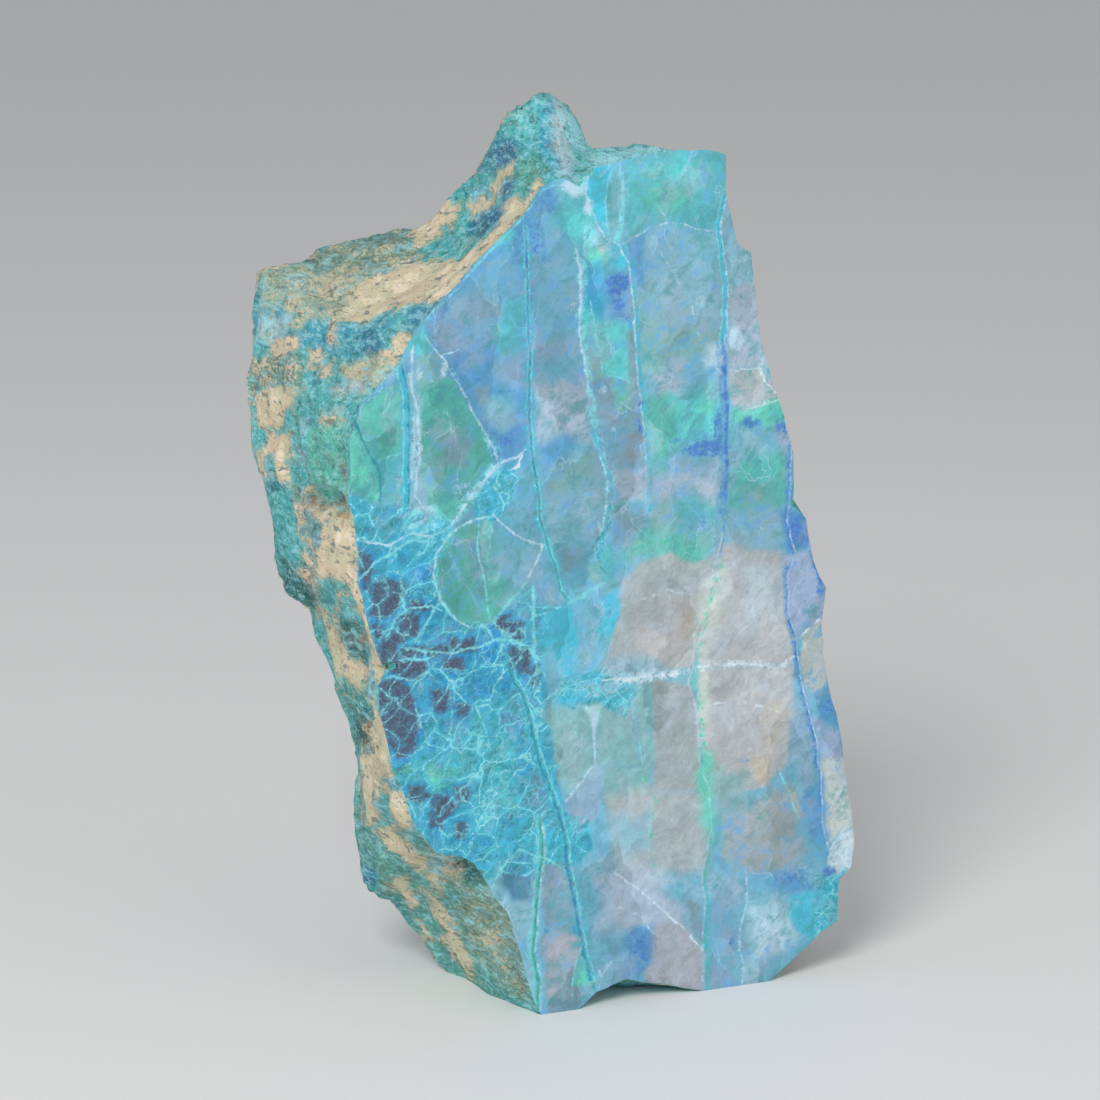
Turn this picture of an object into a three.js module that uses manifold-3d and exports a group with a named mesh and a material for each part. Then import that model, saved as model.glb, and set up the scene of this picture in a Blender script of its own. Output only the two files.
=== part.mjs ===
// A chrysocolla slab: one natural stone, about 155 mm tall, that stands on its own sawn base.
// The front is a flat polished face with an irregular outline. The left side, the top and the back are
// rough natural surface, with a ledge, a peak, a notch with a hollow under it, and shallow fracture scars.
// Millimetres. x is to the right, y goes back from the polished face, and z is up from the base.
import * as THREE from "three";
import { ImprovedNoise } from "three/addons/math/ImprovedNoise.js";
import { mergeVertices } from "three/addons/utils/BufferGeometryUtils.js";
import Module from "manifold-3d";

// Driving dimensions
const STONE = { left: -36, right: 58, bottom: 0, top: 154 };
const MIDDLE = { x: 6, z: 72 }; // of the front view
const POINT_SPACING = 2.9; // along the outline
const SIDE_STEPS = 15; // rings from the polished face to the back rim
const BACK_SPACING = 3.3; // between the points of the broken back
const WASTE_DEPTH = 30; // how far the stone runs on behind the rim before the back is broken off
const WASTE_MARGIN = 10; // of the block that is broken off, past the stone's sides
const WASTE_END = 100; // how far back that block reaches
const SAW_BLOCK = { width: 200, height: 20 }; // what is sawn off below the base
const BEHIND_FACE = 0.4; // no rough point comes nearer than this to the plane of the polished face
const EDGE_WOBBLE = { size: 2, height: 0.35 }; // how the polished outline wanders along its way
const RIM_WEIGHT = 0.8; // of a length along the rim against one along the face edge, when both are divided
const STONE_COLOUR = "#3f9fae";

// The outline, clockwise from the peak as seen from the front. Each station pairs a point on the edge of
// the polished face, [x, z], with the point on the back rim that the rough side runs to, [x, y, z].
const TOP_STATIONS = [
  [[0.5, 141], [5, 14, 153.6]],
  [[2, 141], [6.7, 14.5, 153.4]],
  [[5, 139.5], [10, 15, 151]],
  [[6.2, 141], [12, 15, 147]],
  [[7.5, 142.5], [13.7, 14.5, 144]],
  [[11, 143], [16, 13.5, 144]],
  [[16, 144], [20.5, 12, 144.2]],
  [[19, 144.5], [24, 12, 143.6]],
  [[23, 144.6], [28, 12, 142.8]],
  [[27.5, 144.5], [32, 12, 141]],
];
const RIGHT_STATIONS = [
  [[31.5, 143.6], [34, 12, 138]],
  [[31.5, 137.5], [33.5, 16, 133]],
  [[33.5, 128.5], [35, 20, 126]],
  [[36.3, 127], [36, 22, 122]],
  [[36.6, 123.5], [37, 23, 119]],
  [[38.3, 111], [39, 26, 109]],
  [[42.5, 99], [41, 27, 98]],
  [[44.5, 92], [42, 28, 91]],
  [[44.6, 83.5], [43, 29, 83]],
  [[47, 81], [44, 29, 79]],
  [[48.5, 73.5], [46, 30, 73]],
  [[51, 68.5], [47, 31, 67]],
  [[50.4, 64.5], [48, 31, 62]],
  [[50.6, 57], [48, 32, 55]],
  [[54, 43.5], [51, 32, 43]],
  [[55.5, 34.5], [52, 32, 35]],
  [[57.5, 23.5], [53, 31, 25]],
  [[56.6, 18.5], [52, 30, 19]],
  [[54.4, 16.5], [51, 30, 15]],
  [[54, 9], [49, 29, 10]],
  [[51, 7.4], [47, 28, 7]],
  [[46, 3.5], [44, 28, 3]],
];
const BOTTOM_STATIONS = [
  [[40, -0.8], [39, 29, -3]],
  [[33.5, -1.2], [33, 31, -4]],
  [[28.5, 0], [28, 33, -4]],
  [[22, 2], [23, 34.5, -4]],
  [[14, 4], [14, 37, -4]],
  [[8.5, 2.6], [8, 38, -4]],
  [[5, -0.2], [3, 38, -4]],
  [[-1, -1], [-3.5, 34, -3]],
];
const LEFT_STATIONS = [
  [[-3.2, 2.5], [-7, 26, -0.6]],
  [[-5.5, 11.5], [-9.5, 30, 3.5]],
  [[-8, 18.5], [-14.8, 31, 10.3]],
  [[-11.5, 24.5], [-18.5, 34, 12.8]],
  [[-14, 28.6], [-20.4, 36, 15.6]],
  [[-21, 31], [-21.7, 36, 21]],
  [[-25, 37], [-21.9, 34.5, 29]],
  [[-26.5, 43], [-21.8, 33, 35]],
  [[-28.7, 48], [-22.2, 32, 40]],
  [[-30.2, 55], [-23.5, 32, 45]],
  [[-30.8, 60], [-26, 33, 52]],
  [[-29.2, 62.5], [-27.4, 33, 56]],
  [[-31, 66.5], [-28.8, 33, 60.5]],
  [[-32.8, 73], [-30.2, 33.5, 65.5]],
  [[-33.8, 78], [-33.6, 35.5, 68]],
  [[-34, 85], [-35.4, 37, 74]],
  [[-34.6, 89], [-35.6, 39, 81]],
  [[-35.5, 91.2], [-35.6, 41, 86.5]],
  [[-35, 96], [-36, 44, 92.5]],
  [[-35, 101], [-36, 45.5, 99]],
  [[-33.7, 106], [-35.6, 46.5, 107]],
  [[-30, 109.7], [-35.2, 46.5, 115]],
  [[-26.5, 113], [-33.8, 46.5, 121.6]],
];
const LEDGE_STATIONS = [
  [[-25.2, 115.8], [-31, 47, 123.2]],
  [[-22.5, 119.5], [-23, 48, 125]],
  [[-20, 122], [-15, 46.5, 127]],
  [[-16, 125.5], [-10, 44, 128]],
  [[-12.5, 129], [-6.4, 42, 128.6]],
  [[-8, 133], [-3.6, 38, 132]],
  [[-5, 135.5], [-1.8, 33, 137]],
  [[-3.4, 137.2], [-0.8, 26, 143.5]],
  [[-2, 139.5], [1.2, 19, 149.6]],
];
const STATIONS = [
  ...TOP_STATIONS,
  ...RIGHT_STATIONS,
  ...BOTTOM_STATIONS,
  ...LEFT_STATIONS,
  ...LEDGE_STATIONS,
];

// How far the side swells outwards (plus) or sinks (minus) half way between the face and the rim, by station
const SWELL = { top: -0.6, right: 1.5, bottom: 3, left: 0.5, ledge: -1.6 };

// The broken back follows the nearest of these planes, y = at + x * acrossX + z * upZ, and near its outline
// it turns in to the depth of the rim.
const BACK_PLANES = [
  { at: 50.5, acrossX: -0.05, upZ: 0 },
  { at: 58, acrossX: -0.42, upZ: 0.02 },
  { at: 84, acrossX: -0.1, upZ: -0.37 },
  { at: 40, acrossX: 0, upZ: 0.36 },
];
const BACK_TURN = 20; // width of the turn

// Broken relief, broad and fine. Scars are shallow bowls that meet in ridges, with a cell width and a bowl
// depth. Flats have a height and a tilt of their own in each cell.
const BROAD_SCARS = { cell: 29, depth: 3.4, seed: 3 };
const BROAD_FLATS = { cell: 17, height: 1.5, tilt: 0.15, seed: 41 };
const FINE_SCARS = { cell: 11, depth: 1.4, seed: 17 };
const FINE_FLATS = { cell: 7.5, height: 0.5, tilt: 0.12, seed: 29 };
const SCAR_MEAN = 0.35; // share of the bowl depth at which the scars neither raise nor lower the form
const FLAT_EDGE = 26; // the higher, the shorter the slope between two flats
// The layers lie parallel to the polished face and end in low steps on the rough sides
const LAYERS = { spacing: 7.5, height: 0.6, edge: 0.7, warp: 2.4, warpSize: 17 };
const GRAIN = { size: 3.1, height: 0.3 };
const SIDE_RELIEF = 0.5;
const BACK_RELIEF = 1; // the back is broken more roughly than the sides
const FACE_FADE = 0.16; // share of the way to the rim over which the relief grows from nothing
const RIM_FADE = 0.32; // share of the way over which the broad relief dies out at the rim

// Cavities cut into the rough left side, and pits at the edge of the polished face
const CAVITIES = [
  { name: "hollow under the notch", at: [-37.4, 9.5, 89.2], radii: [6, 9.4, 3.1], tilt: -9 },
  { name: "step that carries the notch to the back", at: [-40.6, 30, 86.8], radii: [5, 21, 2.1], tilt: -6 },
  { name: "recess below the hollow", at: [-39.2, 11, 82], radii: [5.4, 6.4, 8.5], tilt: 8 },
  { name: "scar below the notch", at: [-40.4, 24, 80], radii: [5.5, 6, 6.5], tilt: 24 },
  { name: "lower hollow", at: [-31.2, 9.5, 51.5], radii: [5.2, 6.8, 3.8], tilt: 22 },
  { name: "ledge below the lower hollow", at: [-31.4, 17, 46.5], radii: [5.6, 9, 2.2], tilt: -14 },
  { name: "fold above the lower hollow", at: [-33.2, 14, 62], radii: [4.6, 2.4, 7.5], tilt: 25 },
  { name: "hollow beside the foot of the face", at: [-15.6, 1.8, 25.4], radii: [3, 4.4, 3.6], tilt: 0 },
  { name: "pit at the face edge", at: [-28.6, -0.4, 63.4], radii: [1, 1.6, 0.8], tilt: 0 },
  { name: "gap at the face edge", at: [-26.6, -0.4, 45.4], radii: [1.9, 1.5, 0.6], tilt: 0 },
];

const CAVITY_LUMPS = 0.22; // of a cavity's radius

const noise = new ImprovedNoise();

// A repeatable number from 0 to 1 for a lattice cell
function hash(i, j, k, seed) {
  const s = Math.sin(i * 127.1 + j * 311.7 + k * 74.7 + seed * 53.3) * 43758.5453;
  return s - Math.floor(s);
}

// The scattered centres around a point: each has its offset from the point and its lattice cell
function centresNear(point, cell, seed) {
  const [u, v, w] = [point.x / cell, point.y / cell, point.z / cell];
  const [iu, iv, iw] = [Math.floor(u), Math.floor(v), Math.floor(w)];
  const centres = [];
  for (let i = iu - 1; i <= iu + 1; i++)
    for (let j = iv - 1; j <= iv + 1; j++)
      for (let k = iw - 1; k <= iw + 1; k++) {
        const du = i + hash(i, j, k, seed) - u;
        const dv = j + hash(i, j, k, seed + 1) - v;
        const dw = k + hash(i, j, k, seed + 2) - w;
        centres.push({ du, dv, dw, squared: du * du + dv * dv + dw * dw, lattice: [i, j, k] });
      }
  return centres;
}

// Height of a scar: lowest at the middle of its bowl, highest at the ridge between two bowls
function scar(point, { cell, depth, seed }) {
  const nearest = Math.min(...centresNear(point, cell, seed).map((centre) => centre.squared));
  return depth * (nearest - SCAR_MEAN);
}

// Height of the flat that a point is on, with a short slope from one flat to the next
function flat(point, { cell, height, tilt, seed }) {
  let weights = 0;
  let sum = 0;
  for (const { du, dv, dw, squared, lattice } of centresNear(point, cell, seed)) {
    const weight = Math.exp(-FLAT_EDGE * squared);
    const lean = (axis) => 2 * hash(...lattice, seed + axis) - 1;
    const level = height * lean(3) + tilt * cell * (du * lean(4) + dv * lean(5) + dw * lean(6));
    weights += weight;
    sum += weight * level;
  }
  return sum / weights;
}

// Height of the layers' steps: each rises slowly and drops at its edge
function layerStep({ x, y, z }) {
  const { spacing, height, edge, warp, warpSize } = LAYERS;
  const along = (y + warp * noise.noise(x / warpSize, y / warpSize, z / warpSize)) / spacing;
  const share = along - Math.floor(along);
  const rise = share < edge ? share / edge : (1 - share) / (1 - edge);
  return height * (rise - 0.5);
}

const broadRelief = (point) => scar(point, BROAD_SCARS) + flat(point, BROAD_FLATS);

function fineRelief(point) {
  const { size, height } = GRAIN;
  const grain = height * noise.noise(point.x / size, point.y / size, point.z / size);
  return scar(point, FINE_SCARS) + flat(point, FINE_FLATS) + layerStep(point) + grain;
}

const mix = (a, b, t) => a + (b - a) * t;
// From 0 to 1, with a gentle start and end, as t goes from 0 to 1
const smooth = (t) => {
  const held = THREE.MathUtils.clamp(t, 0, 1);
  return held * held * (3 - 2 * held);
};

// Swell of the side at each station
function swellOf(index) {
  const groups = [
    [TOP_STATIONS, SWELL.top],
    [RIGHT_STATIONS, SWELL.right],
    [BOTTOM_STATIONS, SWELL.bottom],
    [LEFT_STATIONS, SWELL.left],
    [LEDGE_STATIONS, SWELL.ledge],
  ];
  let first = 0;
  for (const [stations, swell] of groups) {
    if (index < first + stations.length) return swell;
    first += stations.length;
  }
}

// The outline at POINT_SPACING: each entry has a face point, a rim point and a swell
function outline() {
  const points = [];
  STATIONS.forEach(([face, rim], n) => {
    const next = (n + 1) % STATIONS.length;
    const [nextFace, nextRim] = STATIONS[next];
    const length = Math.max(
      Math.hypot(nextFace[0] - face[0], nextFace[1] - face[1]),
      RIM_WEIGHT * Math.hypot(nextRim[0] - rim[0], nextRim[1] - rim[1], nextRim[2] - rim[2]),
    );
    const steps = Math.max(1, Math.round(length / POINT_SPACING));
    for (let s = 0; s < steps; s++) {
      const t = s / steps;
      const x = mix(face[0], nextFace[0], t);
      const z = mix(face[1], nextFace[1], t);
      const { size, height } = EDGE_WOBBLE;
      const wobble = height * noise.noise(x / size, 0.5, z / size);
      points.push({
        face: new THREE.Vector3(x + wobble, 0, z + wobble),
        rim: new THREE.Vector3(...rim).lerp(new THREE.Vector3(...nextRim), t),
        swell: mix(swellOf(n), swellOf(next), t),
      });
    }
  });
  return points;
}

// The smooth form: rings from the face edge to the rim, and one more ring behind it in the waste
function smoothRings(points) {
  const rings = [];
  for (let s = 0; s <= SIDE_STEPS; s++) {
    const t = s / SIDE_STEPS;
    rings.push(
      points.map(({ face, rim, swell }) => {
        const out = new THREE.Vector3(face.x - MIDDLE.x, 0, face.z - MIDDLE.z).normalize();
        return face.clone().lerp(rim, t).addScaledVector(out, swell * Math.sin(Math.PI * t));
      }),
    );
  }
  rings.push(points.map(({ rim }) => new THREE.Vector3(rim.x, rim.y + WASTE_DEPTH, rim.z)));
  return rings;
}

// A closed surface over the rings: the flat face, the side, and a rough end in the waste
function blankSurface(points) {
  const rings = smoothRings(points);
  const n = points.length;
  const index = [];
  for (let r = 0; r + 1 < rings.length; r++)
    for (let i = 0; i < n; i++) {
      const j = (i + 1) % n;
      const [a, b, c, d] = [r * n + i, r * n + j, (r + 1) * n + j, (r + 1) * n + i];
      if ((r + i) % 2) index.push(a, b, c, a, c, d);
      else index.push(a, b, d, b, c, d);
    }
  const last = (rings.length - 1) * n;
  const faceView = points.map(({ face }) => new THREE.Vector2(face.x, face.z));
  const rimView = points.map(({ rim }) => new THREE.Vector2(rim.x, rim.z));
  for (const [a, b, c] of THREE.ShapeUtils.triangulateShape(faceView, [])) index.push(a, b, c);
  for (const [a, b, c] of THREE.ShapeUtils.triangulateShape(rimView, []))
    index.push(last + a, last + c, last + b);
  const surface = new THREE.BufferGeometry();
  const positions = rings.flat().flatMap((p) => [p.x, p.y, p.z]);
  surface.setAttribute("position", new THREE.Float32BufferAttribute(positions, 3));
  surface.setIndex(index);
  roughen(surface, n);
  return surface;
}

// Lifts every point behind the polished face by the relief there, and leaves the face flat
function roughen(surface, ringLength) {
  surface.computeVertexNormals();
  const position = surface.getAttribute("position");
  const normal = surface.getAttribute("normal");
  const point = new THREE.Vector3();
  const out = new THREE.Vector3();
  for (let v = ringLength; v < position.count; v++) {
    point.fromBufferAttribute(position, v);
    out.fromBufferAttribute(normal, v);
    const along = Math.floor(v / ringLength) / SIDE_STEPS;
    const relief = fineRelief(point) + smooth((1 - along) / RIM_FADE) * broadRelief(point);
    point.addScaledVector(out, SIDE_RELIEF * smooth(along / FACE_FADE) * relief);
    point.y = Math.max(point.y, BEHIND_FACE);
    position.setXYZ(v, point.x, point.y, point.z);
  }
}

// How far back the stone is broken off behind a point of the front view
function backDepth({ x, z }, points) {
  let weights = 0;
  let depths = 0;
  let nearest = Infinity;
  for (const { rim } of points) {
    const gap = Math.hypot(rim.x - x, rim.z - z) + 0.5;
    const weight = gap ** -3;
    weights += weight;
    depths += weight * rim.y;
    nearest = Math.min(nearest, gap);
  }
  const plane = Math.min(...BACK_PLANES.map((p) => p.at + p.acrossX * x + p.upZ * z));
  const inside = smooth(nearest / BACK_TURN);
  const onForm = new THREE.Vector3(x, mix(depths / weights, plane, inside), z);
  return onForm.y + BACK_RELIEF * (fineRelief(onForm) + inside * broadRelief(onForm));
}

// Everything behind the broken back, as one block with the fracture as its front
function waste(points) {
  const width = STONE.right - STONE.left + 2 * WASTE_MARGIN;
  const height = STONE.top - STONE.bottom + 2 * WASTE_MARGIN;
  const [columns, rows] = [width / BACK_SPACING, height / BACK_SPACING].map(Math.round);
  const block = new THREE.BoxGeometry(width, 2, height, columns, 1, rows);
  block.translate((STONE.left + STONE.right) / 2, 0, (STONE.bottom + STONE.top) / 2);
  const position = block.getAttribute("position");
  const point = new THREE.Vector3();
  for (let v = 0; v < position.count; v++) {
    point.fromBufferAttribute(position, v);
    position.setY(v, point.y < 0 ? backDepth(point, points) : WASTE_END);
  }
  return block;
}

// A lumpy ellipsoid
function cavity({ at, radii, tilt }) {
  const hollow = new THREE.IcosahedronGeometry(1, 3);
  const position = hollow.getAttribute("position");
  const p = new THREE.Vector3();
  for (let v = 0; v < position.count; v++) {
    p.fromBufferAttribute(position, v);
    const lump = CAVITY_LUMPS * noise.noise(p.x * 2 + at[1], p.y * 2 + at[2], p.z * 2);
    p.multiplyScalar(1 + lump);
    position.setXYZ(v, p.x, p.y, p.z);
  }
  hollow.scale(...radii);
  hollow.rotateX(THREE.MathUtils.degToRad(tilt));
  hollow.translate(...at);
  return hollow;
}

const wasm = await Module();
wasm.setup();

function toSolid(geometry) {
  const bare = geometry.clone();
  bare.deleteAttribute("normal");
  bare.deleteAttribute("uv");
  const merged = mergeVertices(bare, 1e-4);
  return new wasm.Manifold(
    new wasm.Mesh({
      numProp: 3,
      vertProperties: merged.attributes.position.array,
      triVerts: new Uint32Array(merged.index.array),
    }),
  );
}

function toGeometry(solid) {
  const mesh = solid.getMesh();
  const geometry = new THREE.BufferGeometry();
  geometry.setAttribute("position", new THREE.BufferAttribute(mesh.vertProperties.slice(), 3));
  geometry.setIndex(new THREE.BufferAttribute(mesh.triVerts.slice(), 1));
  return geometry;
}

// The saw cut that the stone stands on: everything below the base plane
function belowBase() {
  const block = new THREE.BoxGeometry(SAW_BLOCK.width, SAW_BLOCK.width, SAW_BLOCK.height);
  block.translate(0, 0, -SAW_BLOCK.height / 2);
  return block;
}

function makeStone() {
  const points = outline();
  let stone = toSolid(blankSurface(points)).subtract(toSolid(waste(points)));
  for (const each of CAVITIES) stone = stone.subtract(toSolid(cavity(each)));
  stone = stone.subtract(toSolid(belowBase()));
  const geometry = toGeometry(stone);
  geometry.computeBoundingBox();
  const { min, max } = geometry.boundingBox;
  geometry.translate(-(min.x + max.x) / 2, -(min.y + max.y) / 2, -min.z);
  geometry.computeVertexNormals();
  return geometry;
}

const material = new THREE.MeshStandardMaterial({ color: STONE_COLOUR, roughness: 0.4, metalness: 0 });
const slab = new THREE.Mesh(makeStone(), material);
slab.name = "chrysocolla_slab";

const part = new THREE.Group();
part.add(slab);

export default part;
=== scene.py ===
"""A standing slab of chrysocolla with one polished face, dressed over its CAD model.

The stone is one piece. Its CAD solid is remeshed finely, its rough sides get layers and grain in the
mesh, and its colours are painted on the mesh's points from named areas, spots and veins. These are
placed by pixels of a 1100 x 1100 photograph that the camera below would take.
"""
from math import cos, radians, sin

import bmesh
import bpy
import numpy as np
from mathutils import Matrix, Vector
from mathutils.bvhtree import BVHTree

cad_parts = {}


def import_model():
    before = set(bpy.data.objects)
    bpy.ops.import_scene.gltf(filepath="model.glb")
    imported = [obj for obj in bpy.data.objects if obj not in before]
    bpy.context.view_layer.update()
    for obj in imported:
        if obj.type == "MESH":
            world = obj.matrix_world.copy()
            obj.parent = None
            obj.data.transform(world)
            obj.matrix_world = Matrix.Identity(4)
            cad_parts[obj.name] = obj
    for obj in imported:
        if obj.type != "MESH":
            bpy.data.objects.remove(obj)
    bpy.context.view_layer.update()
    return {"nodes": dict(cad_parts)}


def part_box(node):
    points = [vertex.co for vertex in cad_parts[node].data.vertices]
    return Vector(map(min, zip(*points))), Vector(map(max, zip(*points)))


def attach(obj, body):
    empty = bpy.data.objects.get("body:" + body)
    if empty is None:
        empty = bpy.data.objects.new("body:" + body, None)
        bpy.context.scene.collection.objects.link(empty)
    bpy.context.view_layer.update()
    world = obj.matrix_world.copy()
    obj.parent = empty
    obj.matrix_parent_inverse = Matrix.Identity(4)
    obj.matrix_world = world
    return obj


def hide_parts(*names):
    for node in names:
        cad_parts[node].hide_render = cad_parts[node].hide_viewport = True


NODE = "chrysocolla_slab"
MM = 0.001

# Camera: it looks down on the face from its left
PHOTO_SIDE = 1100
CAMERA_TURN = radians(24)
CAMERA_TILT = radians(13)
CAMERA_DISTANCE = 700 * MM
VIEW_WIDTH = 180.3 * MM
TARGET_X = -10.2 * MM
TARGET_Z = 80 * MM
SENSOR = 36

# Noise, scattered evenly and the same way on each run
SCATTER = (73856093, 19349663, 83492791)
SEED_FACTOR = 2654435761
SEED_SHIFT = 7.31
MIX_FACTOR = 0xBF58476D1CE4E5B9
MIX_SHIFTS = (29, 32)
NOISE_STEPS = 100003
CLOUD_RANGE = 1.5

# Mesh
CELL = 0.9 * MM
REMESH_DEPTH = 8
WELD_GAP = 0.01 * MM
FACE_GAP = 0.05 * MM
BASE_GAP = 0.3 * MM
RIM_ROUNDING = 0.1 * MM
SMOOTHING_ROUNDS = 2
SMOOTHING = 0.5
NORMAL_ROUNDS = 10
TINY = 1e-9

# Relief of the rough sides: it sinks below and rises above the CAD surface, but never out of the CAD box.
# A range gives the values of a noise between which the relief goes from nothing to its full depth.
RELIEF_LIFT = 0.6 * MM
LAYER_PITCH = 2.3 * MM
LAYER_DEPTH = 0.3 * MM
LAYER_RANGE = (-0.5, 0.6)
LAYER_STRETCH = (0.25, 2.2, 0.25)
LUMP_SIZE = 5.5 * MM
LUMP_DEPTH = 0.5 * MM
LUMP_RANGE = (-0.7, 0.7)
GRAIN_SIZE = 1.9 * MM
GRAIN_DEPTH = 0.3 * MM
GRAIN_RANGE = (-0.8, 0.8)
CRUST_DEPTH = 0.3 * MM
STEP_DEPTH = 0.7 * MM
RELIEF_FADE = 2.0 * MM
THIN = 6 * MM
THIN_SHARE = 0.2
THIN_ROUNDS = 6
RAY_GAP = 0.2 * MM
# Waves of the layers: size, height and seed
LAYER_WAVES = ((14 * MM, 1.6 * MM, 3), (4 * MM, 0.5 * MM, 4))
# Broken steps: size, seed and range
STEPS = ((15 * MM, 21, -0.05, 0.1), (9 * MM, 25, 0.05, 0.2))

# How squarely a point faces the camera, from where nothing of a look shows to where all of it does
STEPS_FACING = (0.1, -0.3)
SEEN_FACING = (-0.05, 0.2)

# Edges of the areas on the face wander, soft ones most: sizes of the noises, and pixels that they add
BROAD_SIZE = 8 * MM
WANDER_SIZE = 4.5 * MM
FINE_SIZE = 1.4 * MM
BROAD_FROM = 4
BROAD_SHARE = 1.7
WANDER_MOST = 9
FINE_SHARE = 0.4
FINE_MOST = 3
SPOT_WANDER = 6
AREA_STRENGTH = 0.9
SPOT_EDGE = (0.3, 1.5)
CRACKLE_EDGE = (-8, 8)
CALM_EDGE = (-18, 12)
AREA_REACH = 20
DARK_REACH = 30

# Colours of the rough sides
ROCK_STRETCH = (1, 2.5, 1)
HUE_SIZE = 20 * MM
TONE_SIZE = 9 * MM
TONE_SOFTNESS = 0.4
TONE_STRENGTH = 0.8
CRUST_SIZE = 15 * MM
CRUST_RANGE = (-0.15, 0.45)
CRUST_SOFTNESS = 6
ROCK_WANDER_SIZE = 3 * MM
ROCK_WANDER = 7

# Direction in which the crazed area's cells and the quartz's silky grain run
CRACKLE_TURN = radians(42)

# Strokes of the veins, in photograph pixels. A point that no stroke is near counts as far from one that
# is too thin to show.
STROKE_REACH = 7
STROKE_START = -4
STROKE_TAPER = 9
STROKE_END = -7
STROKE_CLOSING = 0.6
STROKE_BOX = 40
STROKE_SPACING = 37.0
WIDTH_MEAN = 0.75
WIDTH_SWING = 0.35
WIDTH_WAVE = 14
FAR = 99.0
HIDDEN = -2.0

# Polish, light and floor
POLISH = {"Specular IOR Level": 0.3, "Coat Weight": 0.15, "Coat Roughness": 0.12, "IOR": 1.5}
ROCK_ROUGHNESS = 0.82
KEY = {"place": (-0.62, -0.70, 0.80), "power": 8.2, "size": 0.5}
FILL = {"place": (0.5, -0.8, 0.4), "power": 1.0, "size": 0.6}
SKY_LIGHT = 0.42
SKY_COLOUR = (0.95, 0.97, 1, 1)
FLOOR_SIZE = 6
FLOOR_COLOUR = (0.86, 0.86, 0.85, 1)
FLOOR_ROUGHNESS = 0.7

# Colours of the stone, as round values
PALETTE = {
    "teal": "#58b0b8", "sea": "#60c8c8", "aqua": "#80d8e0", "cyan": "#40b8d0", "bright": "#38a8d0",
    "blue": "#5898c8", "sky": "#70b0c8", "mist": "#88b8c8", "pearl": "#a8b8c8", "lilac": "#a0b0d0",
    "haze": "#88a8c0", "grey": "#a8b0b0", "ash": "#a0a8a8", "slate": "#7898a8", "sage": "#80b0b0",
    "mint": "#68d0b8", "green": "#60c8a8", "jade": "#58b8a8", "moss": "#50a8a0", "azurite": "#4878c8",
    "purple": "#485068", "cream": "#c8d0c8", "beige": "#b8b8b8", "sand": "#b8b0a0", "pink": "#a8a8b0",
    "ice": "#b8d8e8", "white": "#d8e8f0", "deep": "#2890a0", "ink": "#184858", "frost": "#b8c8d0",
    "fern": "#58a0a8", "dusk": "#4880a0", "lagoon": "#40a0b0", "azure": "#2890d0", "lapis": "#3070b8",
    "tan": "#e0d0b0", "straw": "#c8d0b0", "olive": "#88a088", "rock teal": "#50c0c0",
    "rock blue": "#48b0c8", "navy": "#2878a0", "rock green": "#58a898", "pine": "#186860",
    "brown": "#a88868", "rose": "#c8b8a8", "silver": "#b8e0e8", "shade": "#483828", "rust": "#d09848",
    "bone": "#f8e8d0", "lichen": "#b0c8b0", "fleck": "#687880", "foam": "#a0e8f0",
}

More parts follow.
